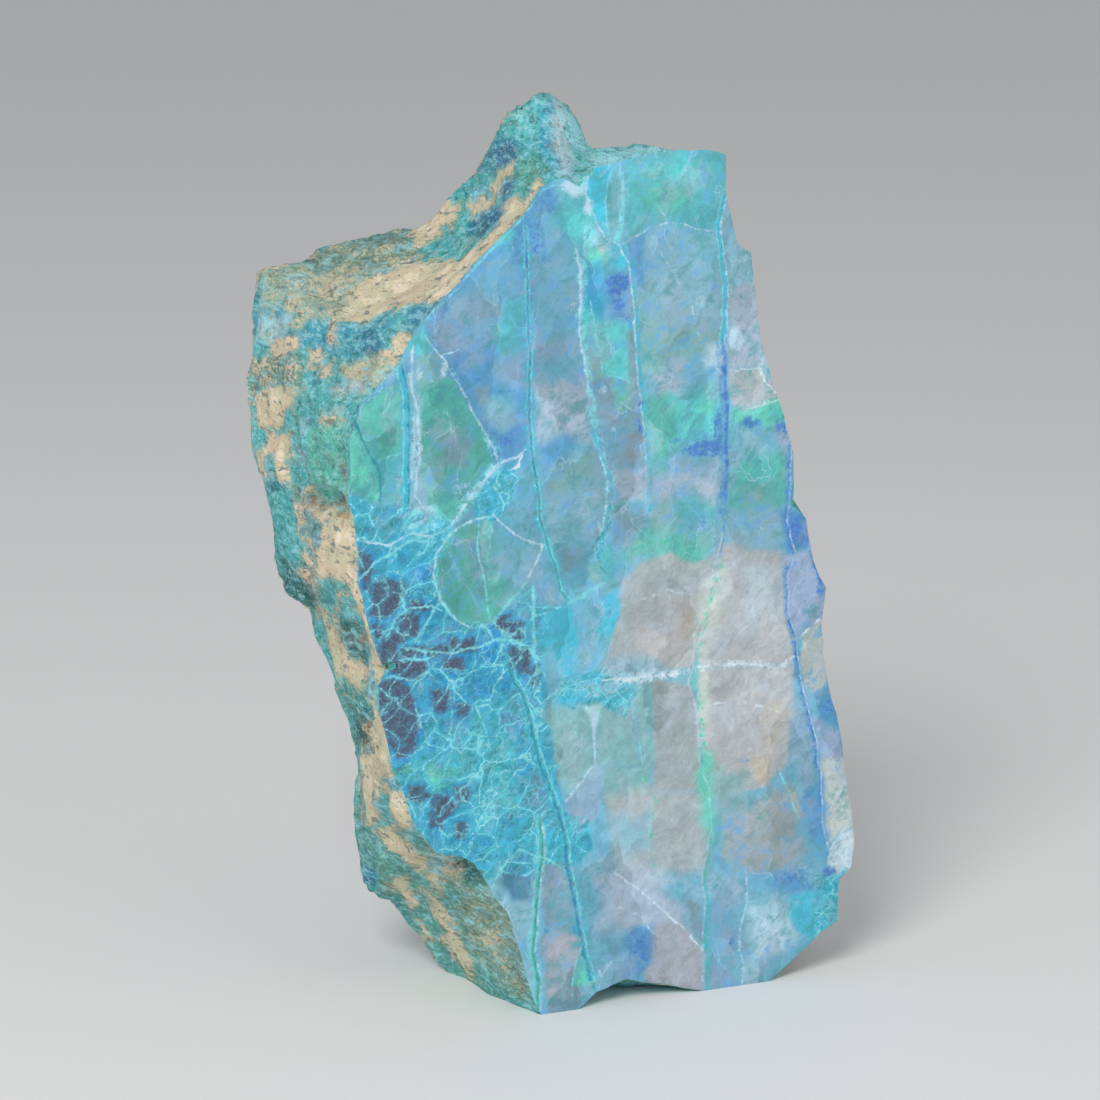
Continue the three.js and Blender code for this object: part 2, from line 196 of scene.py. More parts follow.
# Areas of the polished face: colour, softness of the edge and corners, in photograph pixels
FACE_AREAS = [
    ("blue", 8, "562,178 522,214 478,258 437,304 409,344 440,356 463,393 496,463 528,470 531,404 527,240"),
    ("sky", 10, "480,262 500,250 522,262 522,300 500,330 470,330 450,312"),
    ("teal", 8, "495,305 522,300 524,352 505,360 490,340"),
    ("haze", 8, "462,298 495,296 497,316 478,326 460,316"),
    ("haze", 10, "430,322 458,320 462,345 448,352 432,340"),
    ("haze", 8, "495,358 524,352 526,385 508,390 494,376"),
    ("slate", 5, "475,388 488,386 488,406 478,408"),
    ("mist", 8, "485,398 505,396 512,420 500,430 486,420"),
    ("sea", 4, "498,234 518,229 512,243 490,250"),
    ("sky", 6, "529,238 548,222 572,244 581,290 578,340 560,352 531,345"),
    ("haze", 8, "532,338 572,335 578,352 560,360 532,356"),
    ("sky", 8, "532,356 570,352 566,372 536,376"),
    ("pearl", 10, "534,378 582,372 590,410 588,440 560,450 537,440"),
    ("blue", 8, "538,442 575,440 570,462 540,470"),
    ("sage", 8, "548,468 590,455 600,478 580,490 550,488"),
    ("mist", 10, "543,492 606,482 602,530 570,548 552,545"),
    ("teal", 6, "534,190 562,182 590,196 596,232 575,246 548,222"),
    ("blue", 6, "536,192 556,186 560,212 540,218"),
    ("sea", 4, "561,212 590,205 596,232 575,240 564,232"),
    ("ice", 3, "567,184 592,180 590,192 578,198 566,194"),
    ("ice", 3, "583,199 595,203 594,212 586,210"),
    ("aqua", 4, "578,176 592,168 590,200 582,196"),
    ("cyan", 1.5, "592,166 613,165 607,184 605,202 607,225 607,240 598,226 590,207 586,193 587,178"),
    ("aqua", 2, "619,166 624,187 624,212 618,242 612,240 617,225 622,202"),
    ("fern", 1.5, "614,172 621,184 621,202 616,225 610,228 606,210 607,190"),
    ("aqua", 2, "583,225 590,224 599,232 598,245 584,246"),
    ("mint", 5, "588,246 606,248 612,262 600,272 586,262"),
    ("cream", 3, "598,242 606,243 607,252 600,252"),
    ("cyan", 5, "607,244 622,246 630,262 626,276 612,268"),
    ("bright", 6, "584,262 604,264 606,300 604,330 588,336 582,300"),
    ("teal", 3, "624,160 660,145 704,140 735,150 727,192 722,228 700,230 684,224 665,223 648,229 624,244"),
    ("jade", 12, "640,195 690,185 700,215 660,222 640,215"),
    ("sea", 8, "626,168 700,152 715,165 690,180 632,182"),
    ("blue", 8, "627,245 650,230 660,250 655,290 640,300 633,275"),
    ("mist", 5, "648,231 665,225 684,226 700,232 717,232 721,260 724,345 690,350 658,330 645,280"),
    ("teal", 12, "634,292 664,292 672,340 650,370 638,350"),
    ("sage", 12, "640,310 720,335 722,365 690,372 645,368"),
    ("pearl", 8, "653,370 683,366 685,394 660,400"),
    ("ice", 6, "704,350 722,348 723,370 708,370"),
    ("sea", 10, "675,395 722,388 724,425 700,440 672,447 662,432"),
    ("jade", 10, "646,400 676,398 670,470 650,470"),
    ("haze", 8, "676,460 722,455 722,486 690,490 674,478"),
    ("pearl", 8, "652,470 722,485 724,504 690,506 650,498"),
    ("teal", 10, "672,502 724,506 722,542 690,548 668,530"),
    ("sage", 8, "645,495 674,500 672,540 648,545"),
    ("mist", 3, "728,150 748,220 760,300 727,300 723,240"),
    ("pearl", 5, "728,285 760,285 768,340 768,368 729,370"),
    ("ice", 3, "726,330 738,328 740,348 728,350"),
    ("grey", 1.5, "729,371 760,368 778,388 784,396 752,409 733,406"),
    ("mint", 5, "733,408 752,409 785,396 796,425 770,430 742,422 731,418"),
    ("mist", 8, "734,428 768,428 770,455 738,460"),
    ("lilac", 4, "776,428 796,428 798,458 782,458"),
    ("jade", 10, "734,462 785,452 786,505 760,512 730,508"),
    ("sage", 8, "740,488 765,480 768,500 745,505"),
    ("mist", 8, "728,512 780,505 786,530 770,545 727,545"),
    ("sea", 5, "584,300 606,325 632,320 636,350 636,378 600,380 590,360 583,330"),
    ("blue", 6, "606,276 632,276 633,300 628,322 612,322 605,300"),
    ("sea", 1.5, "602,352 628,350 636,378 630,381 603,374"),
    ("sage", 1.5, "586,355 602,356 603,374 606,377 588,380"),
    ("slate", 4, "589,380 606,377 630,381 632,405 626,422 600,424 593,410"),
    ("slate", 2, "627,330 635,330 640,378 643,422 636,424 630,400 628,370"),
    ("jade", 5, "614,382 628,381 630,418 622,424 614,400"),
    ("sky", 5, "596,428 640,424 622,460 608,468 602,455"),
    ("slate", 3, "628,436 645,424 646,468 618,466"),
    ("pearl", 5, "612,472 646,466 646,500 618,502"),
    ("slate", 3, "616,506 640,504 646,520 640,548 612,544"),
    ("blue", 4, "398,370 412,350 424,330 418,360 404,382 372,402 356,408"),
    ("sea", 3, "405,348 423,326 430,345 426,355 412,356"),
    ("sage", 4, "412,358 440,352 446,372 430,400 418,400"),
    ("jade", 3, "418,388 450,376 464,396 480,426 494,462 478,500 450,524 432,514 420,470 416,420"),
    ("moss", 9, "420,390 448,380 450,420 432,440 422,430"),
    ("slate", 9, "440,432 468,430 470,458 446,462"),
    ("moss", 8, "426,465 462,465 462,499 436,499"),
    ("teal", 8, "450,478 475,478 470,500 452,498"),
    ("jade", 2, "384,388 400,384 403,453 377,461 366,446 354,430 364,405"),
    ("moss", 7, "370,430 395,425 398,452 378,458"),
    ("mint", 1.5, "345,434 355,430 366,447 381,473 378,500 366,502 345,488"),
    ("teal", 3, "378,462 403,455 404,505 380,500"),
    ("cyan", 5, "487,481 515,462 517,500 500,520 472,517 474,500"),
    ("sky", 5, "505,475 528,470 540,500 543,540 516,536 500,522"),
    ("bright", 6, "340,503 405,503 452,524 438,560 440,600 470,640 520,650 545,690 560,810 566,850 540,870"
     " 486,878 440,862 405,823 370,712 355,608"),
    ("aqua", 9, "396,506 440,504 446,530 420,545 400,530"),
    ("azure", 8, "398,552 420,548 434,566 432,580 410,576"),
    ("azure", 9, "404,596 424,590 440,612 452,640 440,646 410,640"),
    ("azure", 10, "425,656 462,650 500,650 522,690 500,712 460,700 432,690"),
    ("azure", 8, "478,630 512,612 532,640 528,660 495,644"),
    ("azure", 8, "484,716 512,716 520,748 498,756"),
    ("bright", 8, "440,800 480,800 500,850 470,852 444,834"),
    ("lapis", 6, "356,546 374,552 372,600 362,590"),
    ("sea", 10, "407,765 455,755 470,800 440,815 410,800"),
    ("green", 14, "425,768 450,762 455,790 430,795"),
    ("sea", 14, "450,735 512,735 520,800 475,830 455,790"),
    ("sea", 8, "468,700 500,700 505,735 470,735"),
    ("cyan", 4, "486,845 540,830 538,855 505,875 485,895"),
    ("cyan", 4, "515,816 560,810 590,820 592,850 572,866 540,862 518,850"),
    ("jade", 2, "436,554 451,534 470,521 491,519 499,531 520,542 543,546 535,563 527,582 512,600 493,622"
     " 474,628 455,619 440,600 434,576"),
    ("sky", 7, "492,524 520,544 540,549 527,580 512,597 498,560"),
    ("fern", 6, "468,540 490,545 488,600 474,600"),
    ("moss", 6, "441,556 455,550 465,600 458,618 442,600"),
    ("sky", 3, "552,546 602,546 602,582 569,600 558,578"),
    ("slate", 6, "562,552 585,550 580,572 564,575"),
    ("sage", 3, "585,568 604,560 604,580 592,584"),
    ("sky", 3, "577,600 604,592 603,620 596,645 578,648 571,620"),
    ("cyan", 4, "543,605 572,605 578,650 574,676 545,676 540,640"),
    ("cyan", 3, "603,592 618,590 616,640 606,674 590,672 598,640"),
    ("teal", 3, "600,548 612,540 616,560 618,590 602,592"),
    ("cyan", 5, "561,676 600,668 633,674 640,695 628,720 600,705 575,712 558,700"),
    ("sage", 6, "545,702 596,706 597,764 570,800 552,770"),
    ("silver", 2, "584,705 602,705 597,732"),
    ("sage", 4, "598,706 634,708 640,764 598,764"),
    ("haze", 4, "565,800 597,765 604,790 600,815 580,834 571,820"),
    ("sage", 4, "600,765 645,765 646,826 612,820"),
    ("slate", 1.5, "536,764 546,790 546,815 528,812 528,790"),
    ("jade", 8, "636,530 700,525 718,545 712,560 692,564 673,549 642,562 625,572"),
    ("grey", 3, "642,563 673,550 692,563 713,557 709,580 694,618 692,664 640,678 604,676 610,643 619,615"
     " 623,580"),
    ("beige", 12, "640,600 690,605 685,660 640,665"),
    ("ash", 10, "635,590 672,590 670,620 640,622"),
    ("mist", 10, "604,655 650,655 655,672 604,676"),
    ("sand", 12, "680,603 702,600 698,630 684,638"),
    ("beige", 5, "725,545 780,548 784,582 790,640 792,665 700,668 694,640 708,592"),
    ("frost", 12, "740,560 780,560 784,610 750,640"),
    ("cream", 9, "706,592 720,562 730,570 714,640 700,662 692,650"),
    ("mist", 6, "604,676 692,668 690,684 656,690 650,700 640,690"),
    ("sage", 6, "634,690 652,682 655,790 645,800 640,740"),
    ("ash", 2, "653,680 690,684 698,716 699,746 700,790 655,790"),
    ("grey", 8, "611,800 655,790 705,792 708,872 640,888 612,860"),
    ("mist", 9, "612,820 650,815 655,850 620,860"),
    ("beige", 4, "698,668 793,666 794,700 790,760 760,790 712,800 699,744"),
    ("cream", 5, "697,672 709,676 710,712 702,735 697,705"),
    ("sand", 9, "757,700 777,700 776,740 762,742"),
    ("sand", 8, "748,752 772,750 770,786 752,784"),
    ("mint", 8, "697,750 712,755 720,790 716,822 706,840 700,800"),
    ("sage", 10, "714,775 745,770 745,830 716,840"),
    ("ash", 9, "724,830 780,790 806,850 800,872 745,874 722,850"),
    ("sand", 5, "786,782 796,790 802,818 795,820"),
    ("azurite", 5, "780,512 804,515 812,536 808,552 790,552 784,530"),
    ("lilac", 3, "782,554 810,552 832,590 832,612 803,634 795,642 786,612"),
    # The cream and white areas along the face's right edge, this one and those at 820,758 and 829,853, are
    # pale stone with a painted highlight where the rounded polished edge catches light.
    ("cream", 1.5, "803,634 828,614 828,650 834,672 816,694 805,684 800,660"),
    ("blue", 2.5, "815,697 836,684 845,722 838,733 820,720"),
    ("lilac", 3, "808,716 820,722 838,732 846,758 826,760 814,745"),
    ("cream", 3, "820,758 848,756 858,826 838,832 826,850 822,800"),
    ("haze", 5, "790,700 806,708 818,745 820,790 800,775 788,730"),
    ("blue", 5, "800,800 822,775 827,850 818,845 806,825"),
    ("white", 1.5, "829,853 840,833 858,828 862,850 856,874 838,885 829,870"),
    ("haze", 8, "720,868 744,870 746,902 738,985 710,985 714,920"),
    ("blue", 6, "771,872 806,868 812,886 790,892 772,888"),
    ("mist", 8, "748,895 790,897 800,930 800,955 770,990 746,990 740,945"),
    ("ice", 14, "750,908 788,908 794,940 770,972 750,966"),
    ("cyan", 4, "789,892 816,888 845,872 845,940 815,940 798,935 789,915"),
    ("sky", 7, "764,968 800,938 805,955 780,985 760,992"),
    ("mist", 3, "480,895 506,855 537,852 536,903 533,941 534,1010 515,960"),
    ("dusk", 5, "500,860 536,853 537,900 512,904 496,884"),
    ("slate", 3, "543,858 572,862 578,905 585,935 560,935 542,925"),
    ("slate", 6, "546,862 568,870 566,890 548,890"),
    ("slate", 5, "540,935 584,930 580,1010 545,1015"),
    ("pink", 9, "544,940 575,935 572,990 548,995"),
    ("sky", 6, "585,930 627,930 640,985 600,990 590,970"),
    ("pearl", 9, "592,866 660,868 690,930 650,935 600,928"),
    ("pink", 5, "648,925 684,925 703,950 706,1000 645,995 646,950"),
    ("blue", 5, "624,935 653,925 652,965 622,985"),
    ("slate", 2, "683,897 700,905 705,948 694,935"),
    ("mint", 3, "583,948 594,985 572,985"),
]

# Areas of dark purple-brown rock among the turquoise cells
DARK_AREAS = [
    "376,581 387,577 405,582 404,593 394,611 387,617 371,618 372,599", "360,552 372,556 371,596 362,588",
    "388,640 394,628 406,612 420,615 417,634 401,646 389,644", "372,624 385,625 383,638 374,638",
    "376,642 396,641 400,660 390,670 380,662", "400,647 423,647 422,656 401,656",
    "394,661 425,661 424,677 398,678 391,670", "427,648 449,645 449,653 427,655",
    "378,681 400,679 414,697 419,722 414,752 398,760 386,736 377,706",
    "450,638 475,639 476,652 453,653", "508,622 522,624 521,640 509,639",
    "509,646 529,649 530,673 511,669", "496,616 507,616 506,630 497,630",
    "432,690 449,691 447,713 435,712", "457,705 469,705 468,717 458,716",
    "411,602 431,604 429,612 412,610", "532,665 540,668 538,687 532,684",
    "409,788 424,785 431,794 420,801 411,798", "431,797 447,796 455,806 446,819 434,812",
    "455,789 467,788 468,799 457,801", "457,823 468,822 466,839 456,837",
    "429,815 443,816 441,828 430,827", "444,658 464,659 463,668 446,669",
]

# Areas of clear quartz, where no coloured clouds drift
CALM_AREAS = [
    "642,563 673,550 713,557 730,545 785,545 795,600 800,640 800,700 790,790 712,800 655,790 650,690"
    " 604,676 612,640 623,580",
    "611,800 708,792 706,950 700,1000 645,1000 600,930",
    "548,704 655,700 655,800 612,860 575,836 560,790",
]

# Areas that are crazed into small cells
CRACKLE_AREAS = [
    "340,500 405,503 452,524 437,560 440,600 455,622 490,625 515,600 532,590 545,610 545,690 560,810"
    " 566,850 540,870 486,878 440,862 405,823 370,712 355,608",
    "561,676 600,668 633,674 640,695 628,720 600,705 575,712 558,700",
    "515,816 560,810 590,820 592,850 572,866 540,862 518,850",
    "818,872 845,872 845,940 815,940 816,900", "487,481 515,462 517,500 500,520 472,517 474,500",
]

# Spots of one mineral on the face: x, y, width, height and amount
AZURITE_SPOTS = [
    (618, 285, 30, 22, 1), (617, 306, 16, 30, 0.8), (541, 258, 18, 24, 0.5), (506, 440, 22, 26, 0.7),
    (475, 378, 26, 16, 0.5), (505, 392, 30, 12, 0.5), (470, 460, 12, 8, 0.5), (706, 451, 56, 18, 1),
    (720, 428, 14, 50, 0.8), (676, 441, 8, 6, 1), (752, 421, 30, 14, 0.9), (784, 428, 18, 14, 0.9),
    (545, 202, 40, 44, 0.5), (535, 240, 24, 50, 0.6), (463, 392, 40, 20, 0.4), (556, 450, 44, 18, 0.4),
    (700, 436, 60, 40, 0.4),
    (790, 485, 8, 70, 0.7), (794, 532, 22, 34, 0.9), (818, 578, 10, 44, 1), (828, 708, 16, 28, 0.8),
    (640, 948, 22, 36, 0.7), (788, 880, 34, 14, 0.6), (831, 868, 10, 12, 1), (815, 830, 16, 44, 0.4),
    (640, 270, 28, 44, 0.3), (697, 522, 40, 26, 0.4), (642, 405, 8, 12, 1), (641, 425, 8, 14, 1),
    (594, 435, 8, 9, 1), (733, 944, 8, 14, 0.9), (579, 928, 6, 26, 0.9), (744, 757, 14, 10, 0.5),
    (516, 250, 20, 50, 0.35), (470, 295, 30, 24, 0.25), (645, 535, 30, 20, 0.3), (540, 880, 8, 20, 0.3),
    (700, 640, 6, 10, 0.3), (545, 930, 8, 20, 0.5), (787, 945, 18, 24, 0.4), (500, 750, 20, 30, 0.3),
]
GREEN_SPOTS = [
    (690, 415, 52, 44, 0.4), (708, 408, 26, 18, 0.6), (768, 412, 34, 24, 0.4), (760, 480, 52, 60, 0.25),
    (670, 543, 60, 22, 0.4), (709, 795, 14, 80, 0.4), (712, 870, 12, 80, 0.4), (440, 402, 44, 50, 0.4),
    (385, 430, 24, 50, 0.5), (362, 468, 16, 54, 0.5), (440, 782, 46, 36, 0.8), (732, 600, 10, 40, 0.3),
    (480, 590, 60, 60, 0.3), (655, 355, 40, 60, 0.3), (668, 205, 60, 40, 0.3), (615, 400, 24, 30, 0.4),
    (605, 560, 20, 30, 0.3), (704, 700, 12, 50, 0.35),
]
MILK_SPOTS = [
    (400, 522, 90, 40, 0.5), (640, 678, 60, 16, 0.7),
    (415, 440, 12, 110, 0.7), (443, 366, 12, 20, 0.8), (418, 372, 14, 18, 0.6), (733, 340, 16, 22, 0.9),
    (575, 190, 30, 16, 0.9), (422, 515, 30, 26, 0.9), (590, 205, 14, 14, 0.8), (465, 495, 30, 40, 0.4),
    (398, 482, 12, 20, 0.6), (603, 392, 20, 12, 0.5), (690, 475, 60, 26, 0.3), (765, 350, 14, 60, 0.4),
    (580, 735, 40, 60, 0.35), (640, 900, 90, 50, 0.25), (600, 690, 60, 24, 0.8), (840, 790, 16, 80, 0.4),
    (712, 362, 24, 16, 0.6), (575, 510, 50, 40, 0.3), (765, 945, 50, 50, 0.3), (745, 620, 60, 70, 0.25),
]

# Courses of the veins on the face, in photograph pixels from top to bottom
PATHS = {
    "first": "524,225 526,235 528,330 530,351 529,404 531,446 537,481 541,519 548,547 556,566 560,591"
             " 569,601",
    "second": "575,246 580,265 581,290 579,322 581,343 587,378 590,408 594,435 603,460 609,479 607,509"
              " 600,545 602,571 615,580",
    "third": "607,238 619,244 629,263 632,290 634,322 637,370 643,418 645,448 647,488 646,545 640,562",
    "main": "727,185 725,194 718,227 722,259 725,290 725,322 721,344 725,362 726,393 727,420 725,446"
            " 727,475 722,536 718,557 707,595 695,635 694,662 689,682 697,713 699,744 700,764 709,789"
            " 711,815 711,846 705,872 708,902 706,933 707,1000",
    "left band": "398,362 401,378 405,394 406,419 406,477 405,512",
    "left milk": "412,345 410,381 415,400 417,419 419,458 414,496 428,514",
    "diagonal": "423,329 430,344 442,357 463,392 479,424 496,452 497,464 484,481 472,496 459,514 448,528",
    "diagonal twin": "447,361 458,386 464,395",
    "side twig": "441,355 459,349",
    "twig": "497,464 509,459 518,457 528,449",
    "blade": "510,471 518,465 524,453",
    "cross crack": "604,680 637,678 658,676 686,672 695,667 723,665 744,664 764,665 776,668 795,656",
    "foot": "540,815 542,852 537,888 535,921 533,953 537,975 539,1015",
    "dark": "505,655 513,678 524,695 532,726 540,758 549,785 559,810 566,842 568,867 572,884 577,910"
            " 582,943 595,990",
    "dark fork": "582,943 575,965 572,1000",
    "tail": "593,706 594,747 595,764 580,784 566,802",
    "right rim": "790,445 788,487 786,520 792,552 786,575 787,611 795,642 798,674 805,703 813,734 819,774"
                 " 821,825 828,856",
    "low slant": "612,870 642,892 662,909 682,927 703,950",
    "low right": "745,868 746,902 740,923 738,949 743,964 741,995",
    "cell top": "622,244 648,229 665,223 684,223 697,229 719,232",
    "leaf arc": "490,511 501,523 516,535 543,546 535,563 527,582",
    "leaf left": "474,628 455,619 440,600 434,576 437,553 451,534 470,521 491,517",
    "leaf floor": "527,582 512,600 493,622 474,628",
    "leaf vein": "478,521 478,555 485,582 489,622",
    "leaf side vein": "449,544 455,567 470,592 482,613",
    "dark left": "362,400 355,422 366,447 381,473 379,503",
    "left cell": "377,461 403,453",
    "blade edge": "592,166 587,178 586,193 590,207 598,226 607,240",
    "blade right": "613,167 607,184 605,202 607,225 609,240",
    "sliver right": "619,166 623,187 624,212 618,243",
    "slant band": "569,603 589,592 606,583",
    "cross dark": "612,521 596,544 602,571",
    "wedge": "727,371 764,368",
    "wedge edge": "758,366 768,384 782,398 752,409",
    "block": "586,355 602,356 603,374 630,381",
    "line in crust": "533,585 534,614 533,645 537,667 533,689",
    "crackle ridge": "398,648 422,650 451,654 478,647 495,639 509,640 528,646 542,662",
    "seam one": "356,584 374,563 396,550 411,541 434,541",
    "seam two": "386,636 396,618 409,609 431,605 444,612",
    "seam three": "418,645 426,625 434,607",
    "seam four": "399,660 425,659 438,654",
    "seam five": "478,622 489,631 495,642",
    "seam six": "356,541 389,545 411,533 433,537",
    "seam seven": "535,607 566,608",
    "seam eight": "372,617 388,618 398,606 410,588 418,570",
    "seam nine": "376,682 392,676 412,681 428,672 440,656",
    "seam ten": "414,700 420,722 428,744 452,752",
    "cell line one": "478,736 500,737 505,746",
    "cell line two": "452,710 449,745 462,752 470,735",
    "cell line three": "475,704 486,730 490,750",
    "long crack": "413,645 440,600 455,619",
    "bridge": "545,700 560,690 600,676",
    "low arc": "488,895 500,868 520,850 548,860 566,870",
    "low cell": "628,690 640,740 646,800 650,850",
    "right spine": "776,762 788,790 800,820",
    "bulge": "829,853 839,833 852,826",
    "wisp one": "590,300 596,330 600,352",
    "wisp two": "660,250 690,300 700,340",
    "wisp three": "640,600 668,590 700,596",
    "wisp four": "700,706 740,700 780,712",
    "wisp five": "610,905 640,915 655,935",
    "green line": "655,875 650,850 655,800 640,770",
    "edge milk": "800,640 803,634 826,612",
    # The course along the face's upper left edge carries a painted highlight: a thin aqua line where the rim
    # catches light.
    "upper rim": "562,181 541,190 521,219 506,234 481,259 460,284 439,305 423,322",
}

# Strokes along these courses: course, shift to the right, width, colour, strength and, where a stroke
# doesn't follow its whole course, the photograph's rows between which it lies
STROKES = [
    ("left band", 0, 13, "cyan", 0.35), ("first", 0, 14, "cyan", 0.3),
    ("second", 2, 12, "aqua", 0.3, 245, 545), ("third", 2, 9, "cyan", 0.3, 240, 520),
    ("main", 0, 16, "blue", 0.6, 335, 520), ("main", 4, 11, "mint", 0.35, 560, 780),
    ("main", 0, 13, "jade", 0.4, 820, 990), ("dark", 1, 15, "cyan", 0.4), ("foot", 0, 14, "aqua", 0.35),
    ("diagonal", 0, 14, "aqua", 0.35, 430, 530), ("right rim", 0, 10, "blue", 0.5),
    ("cross crack", 0, 10, "white", 0.2), ("low right", -2, 10, "sky", 0.5),
    ("left milk", 0, 8, "mist", 0.7), ("left milk", 0.6, 3.4, "ice", 0.75), ("left band", 0, 6, "cyan", 0.95),
    ("left band", 3, 2, "deep", 0.8), ("left band", -2.6, 1.5, "aqua", 0.8),
    ("diagonal", 0, 2, "ice", 0.7, 329, 462), ("diagonal", 0, 5, "ice", 0.6, 455, 530),
    ("diagonal twin", 2, 2, "aqua", 0.7), ("side twig", 0, 1.6, "ice", 0.6), ("twig", 0, 2.4, "ice", 0.75),
    ("blade", 0, 4, "white", 0.8), ("first", 0, 4.5, "teal", 0.8),
    ("first", 0.2, 2.4, "azurite", 0.5, 235, 480), ("first", -1, 2, "deep", 0.7, 430, 600),
    ("first", -2.2, 1.2, "aqua", 0.5), ("first", 2, 1.4, "aqua", 0.6),
    ("second", 0, 3, "ice", 0.8, 245, 390), ("second", 0.5, 1.8, "aqua", 0.6, 380, 450),
    ("second", 0, 5, "cyan", 0.5, 430, 560), ("second", -1, 1.8, "ice", 0.6, 450, 548),
    ("second", 3, 1.6, "deep", 0.5, 470, 560), ("third", 0, 2.2, "ice", 0.75, 238, 340),
    ("third", 0, 1.7, "ice", 0.5, 330, 510), ("third", 2.6, 2, "cyan", 0.5, 240, 460),
    ("main", 0, 4.4, "cyan", 0.85, 186, 350), ("main", -2.6, 1.5, "aqua", 0.7, 190, 350),
    ("main", 2.8, 1.5, "ice", 0.6, 195, 350), ("main", 0.5, 5, "azurite", 0.7, 340, 500),
    ("main", 1, 3, "blue", 0.5, 480, 560), ("main", -0.5, 1.6, "cream", 0.7, 530, 710),
    ("main", 0, 1.7, "ice", 0.5, 700, 850), ("main", 0, 4, "jade", 0.7, 835, 1000),
    ("main", 0, 2.4, "cyan", 0.8, 880, 1000), ("main", -3, 1.4, "ice", 0.5, 835, 985),
    # The aqua stroke on the upper rim course is a painted highlight along the face's upper left edge.
    ("cross crack", 0, 2.6, "white", 0.7), ("upper rim", 1, 2.4, "aqua", 0.5),
    ("foot", 0, 5.5, "jade", 0.85), ("foot", 0.6, 2, "deep", 0.6), ("foot", -2.8, 1.4, "aqua", 0.6),
    ("foot", 2.8, 1.4, "ice", 0.5), ("dark", 0, 3.6, "teal", 0.6), ("dark", -1, 2.8, "deep", 0.85),
    ("dark", -0.5, 2, "azurite", 0.5, 800, 945), ("dark", 3, 1.7, "aqua", 0.85),
    ("dark fork", 0, 2, "aqua", 0.7), ("tail", 0, 2.8, "ice", 0.9), ("right rim", 0, 2.4, "azurite", 0.4),
    ("right rim", 2, 1.6, "ice", 0.6), ("low slant", 0, 2, "white", 0.6), ("low right", 1, 1.8, "ice", 0.7),
    ("cell top", 0, 1.6, "ice", 0.5), ("leaf arc", 0, 2.6, "ice", 0.7), ("leaf left", 0, 3.5, "aqua", 0.5),
    ("leaf left", 0.5, 1.6, "ice", 0.6), ("leaf floor", 0, 4, "aqua", 0.6),
    ("leaf vein", 0, 2.4, "aqua", 0.65), ("leaf side vein", 0, 6, "sky", 0.5),
    ("dark left", 0, 3, "deep", 0.9), ("left cell", 0, 1.6, "aqua", 0.7), ("blade edge", 0, 2.4, "ice", 0.8),
    ("blade right", 0, 2, "aqua", 0.8), ("sliver right", 0, 2.4, "aqua", 0.8),
    ("slant band", 0, 6, "aqua", 0.8), ("cross dark", 0, 5, "deep", 0.5),
    ("wedge", 0, 1.8, "white", 0.7), ("wedge edge", 0, 2.6, "white", 0.7), ("block", 0, 1.8, "aqua", 0.6),
    ("line in crust", 0, 3.4, "aqua", 0.8), ("crackle ridge", 0, 3, "aqua", 0.85),
    ("seam one", 0, 3, "aqua", 0.8), ("seam two", 0, 2.6, "aqua", 0.8), ("seam three", 0, 2, "aqua", 0.7),
    ("seam four", 0, 2.4, "aqua", 0.8), ("seam five", 0, 2.4, "aqua", 0.8), ("seam six", 0, 2.4, "ice", 0.7),
    ("seam seven", 0, 1.8, "aqua", 0.7), ("seam eight", 0, 2, "aqua", 0.6),
    ("seam nine", 0, 2.2, "aqua", 0.7), ("seam ten", 0, 2, "aqua", 0.6),
    ("cell line one", 0, 2, "aqua", 0.7), ("cell line two", 0, 2.4, "aqua", 0.7),
    ("cell line three", 0, 2, "aqua", 0.6), ("long crack", 0, 3, "aqua", 0.7), ("bridge", 0, 3, "aqua", 0.6),
    ("low arc", 0, 2.4, "aqua", 0.8), ("low cell", 0, 2, "aqua", 0.4), ("right spine", 0, 2, "aqua", 0.6),
    ("bulge", 0, 2, "white", 0.7), ("wisp one", 0, 3, "aqua", 0.4), ("wisp two", 0, 3, "ice", 0.25),
    ("wisp three", 0, 3, "white", 0.25), ("wisp four", 0, 3, "white", 0.2), ("wisp five", 0, 3, "ice", 0.3),
    ("green line", 0, 3, "green", 0.3), ("edge milk", 0, 2, "white", 0.5),
]

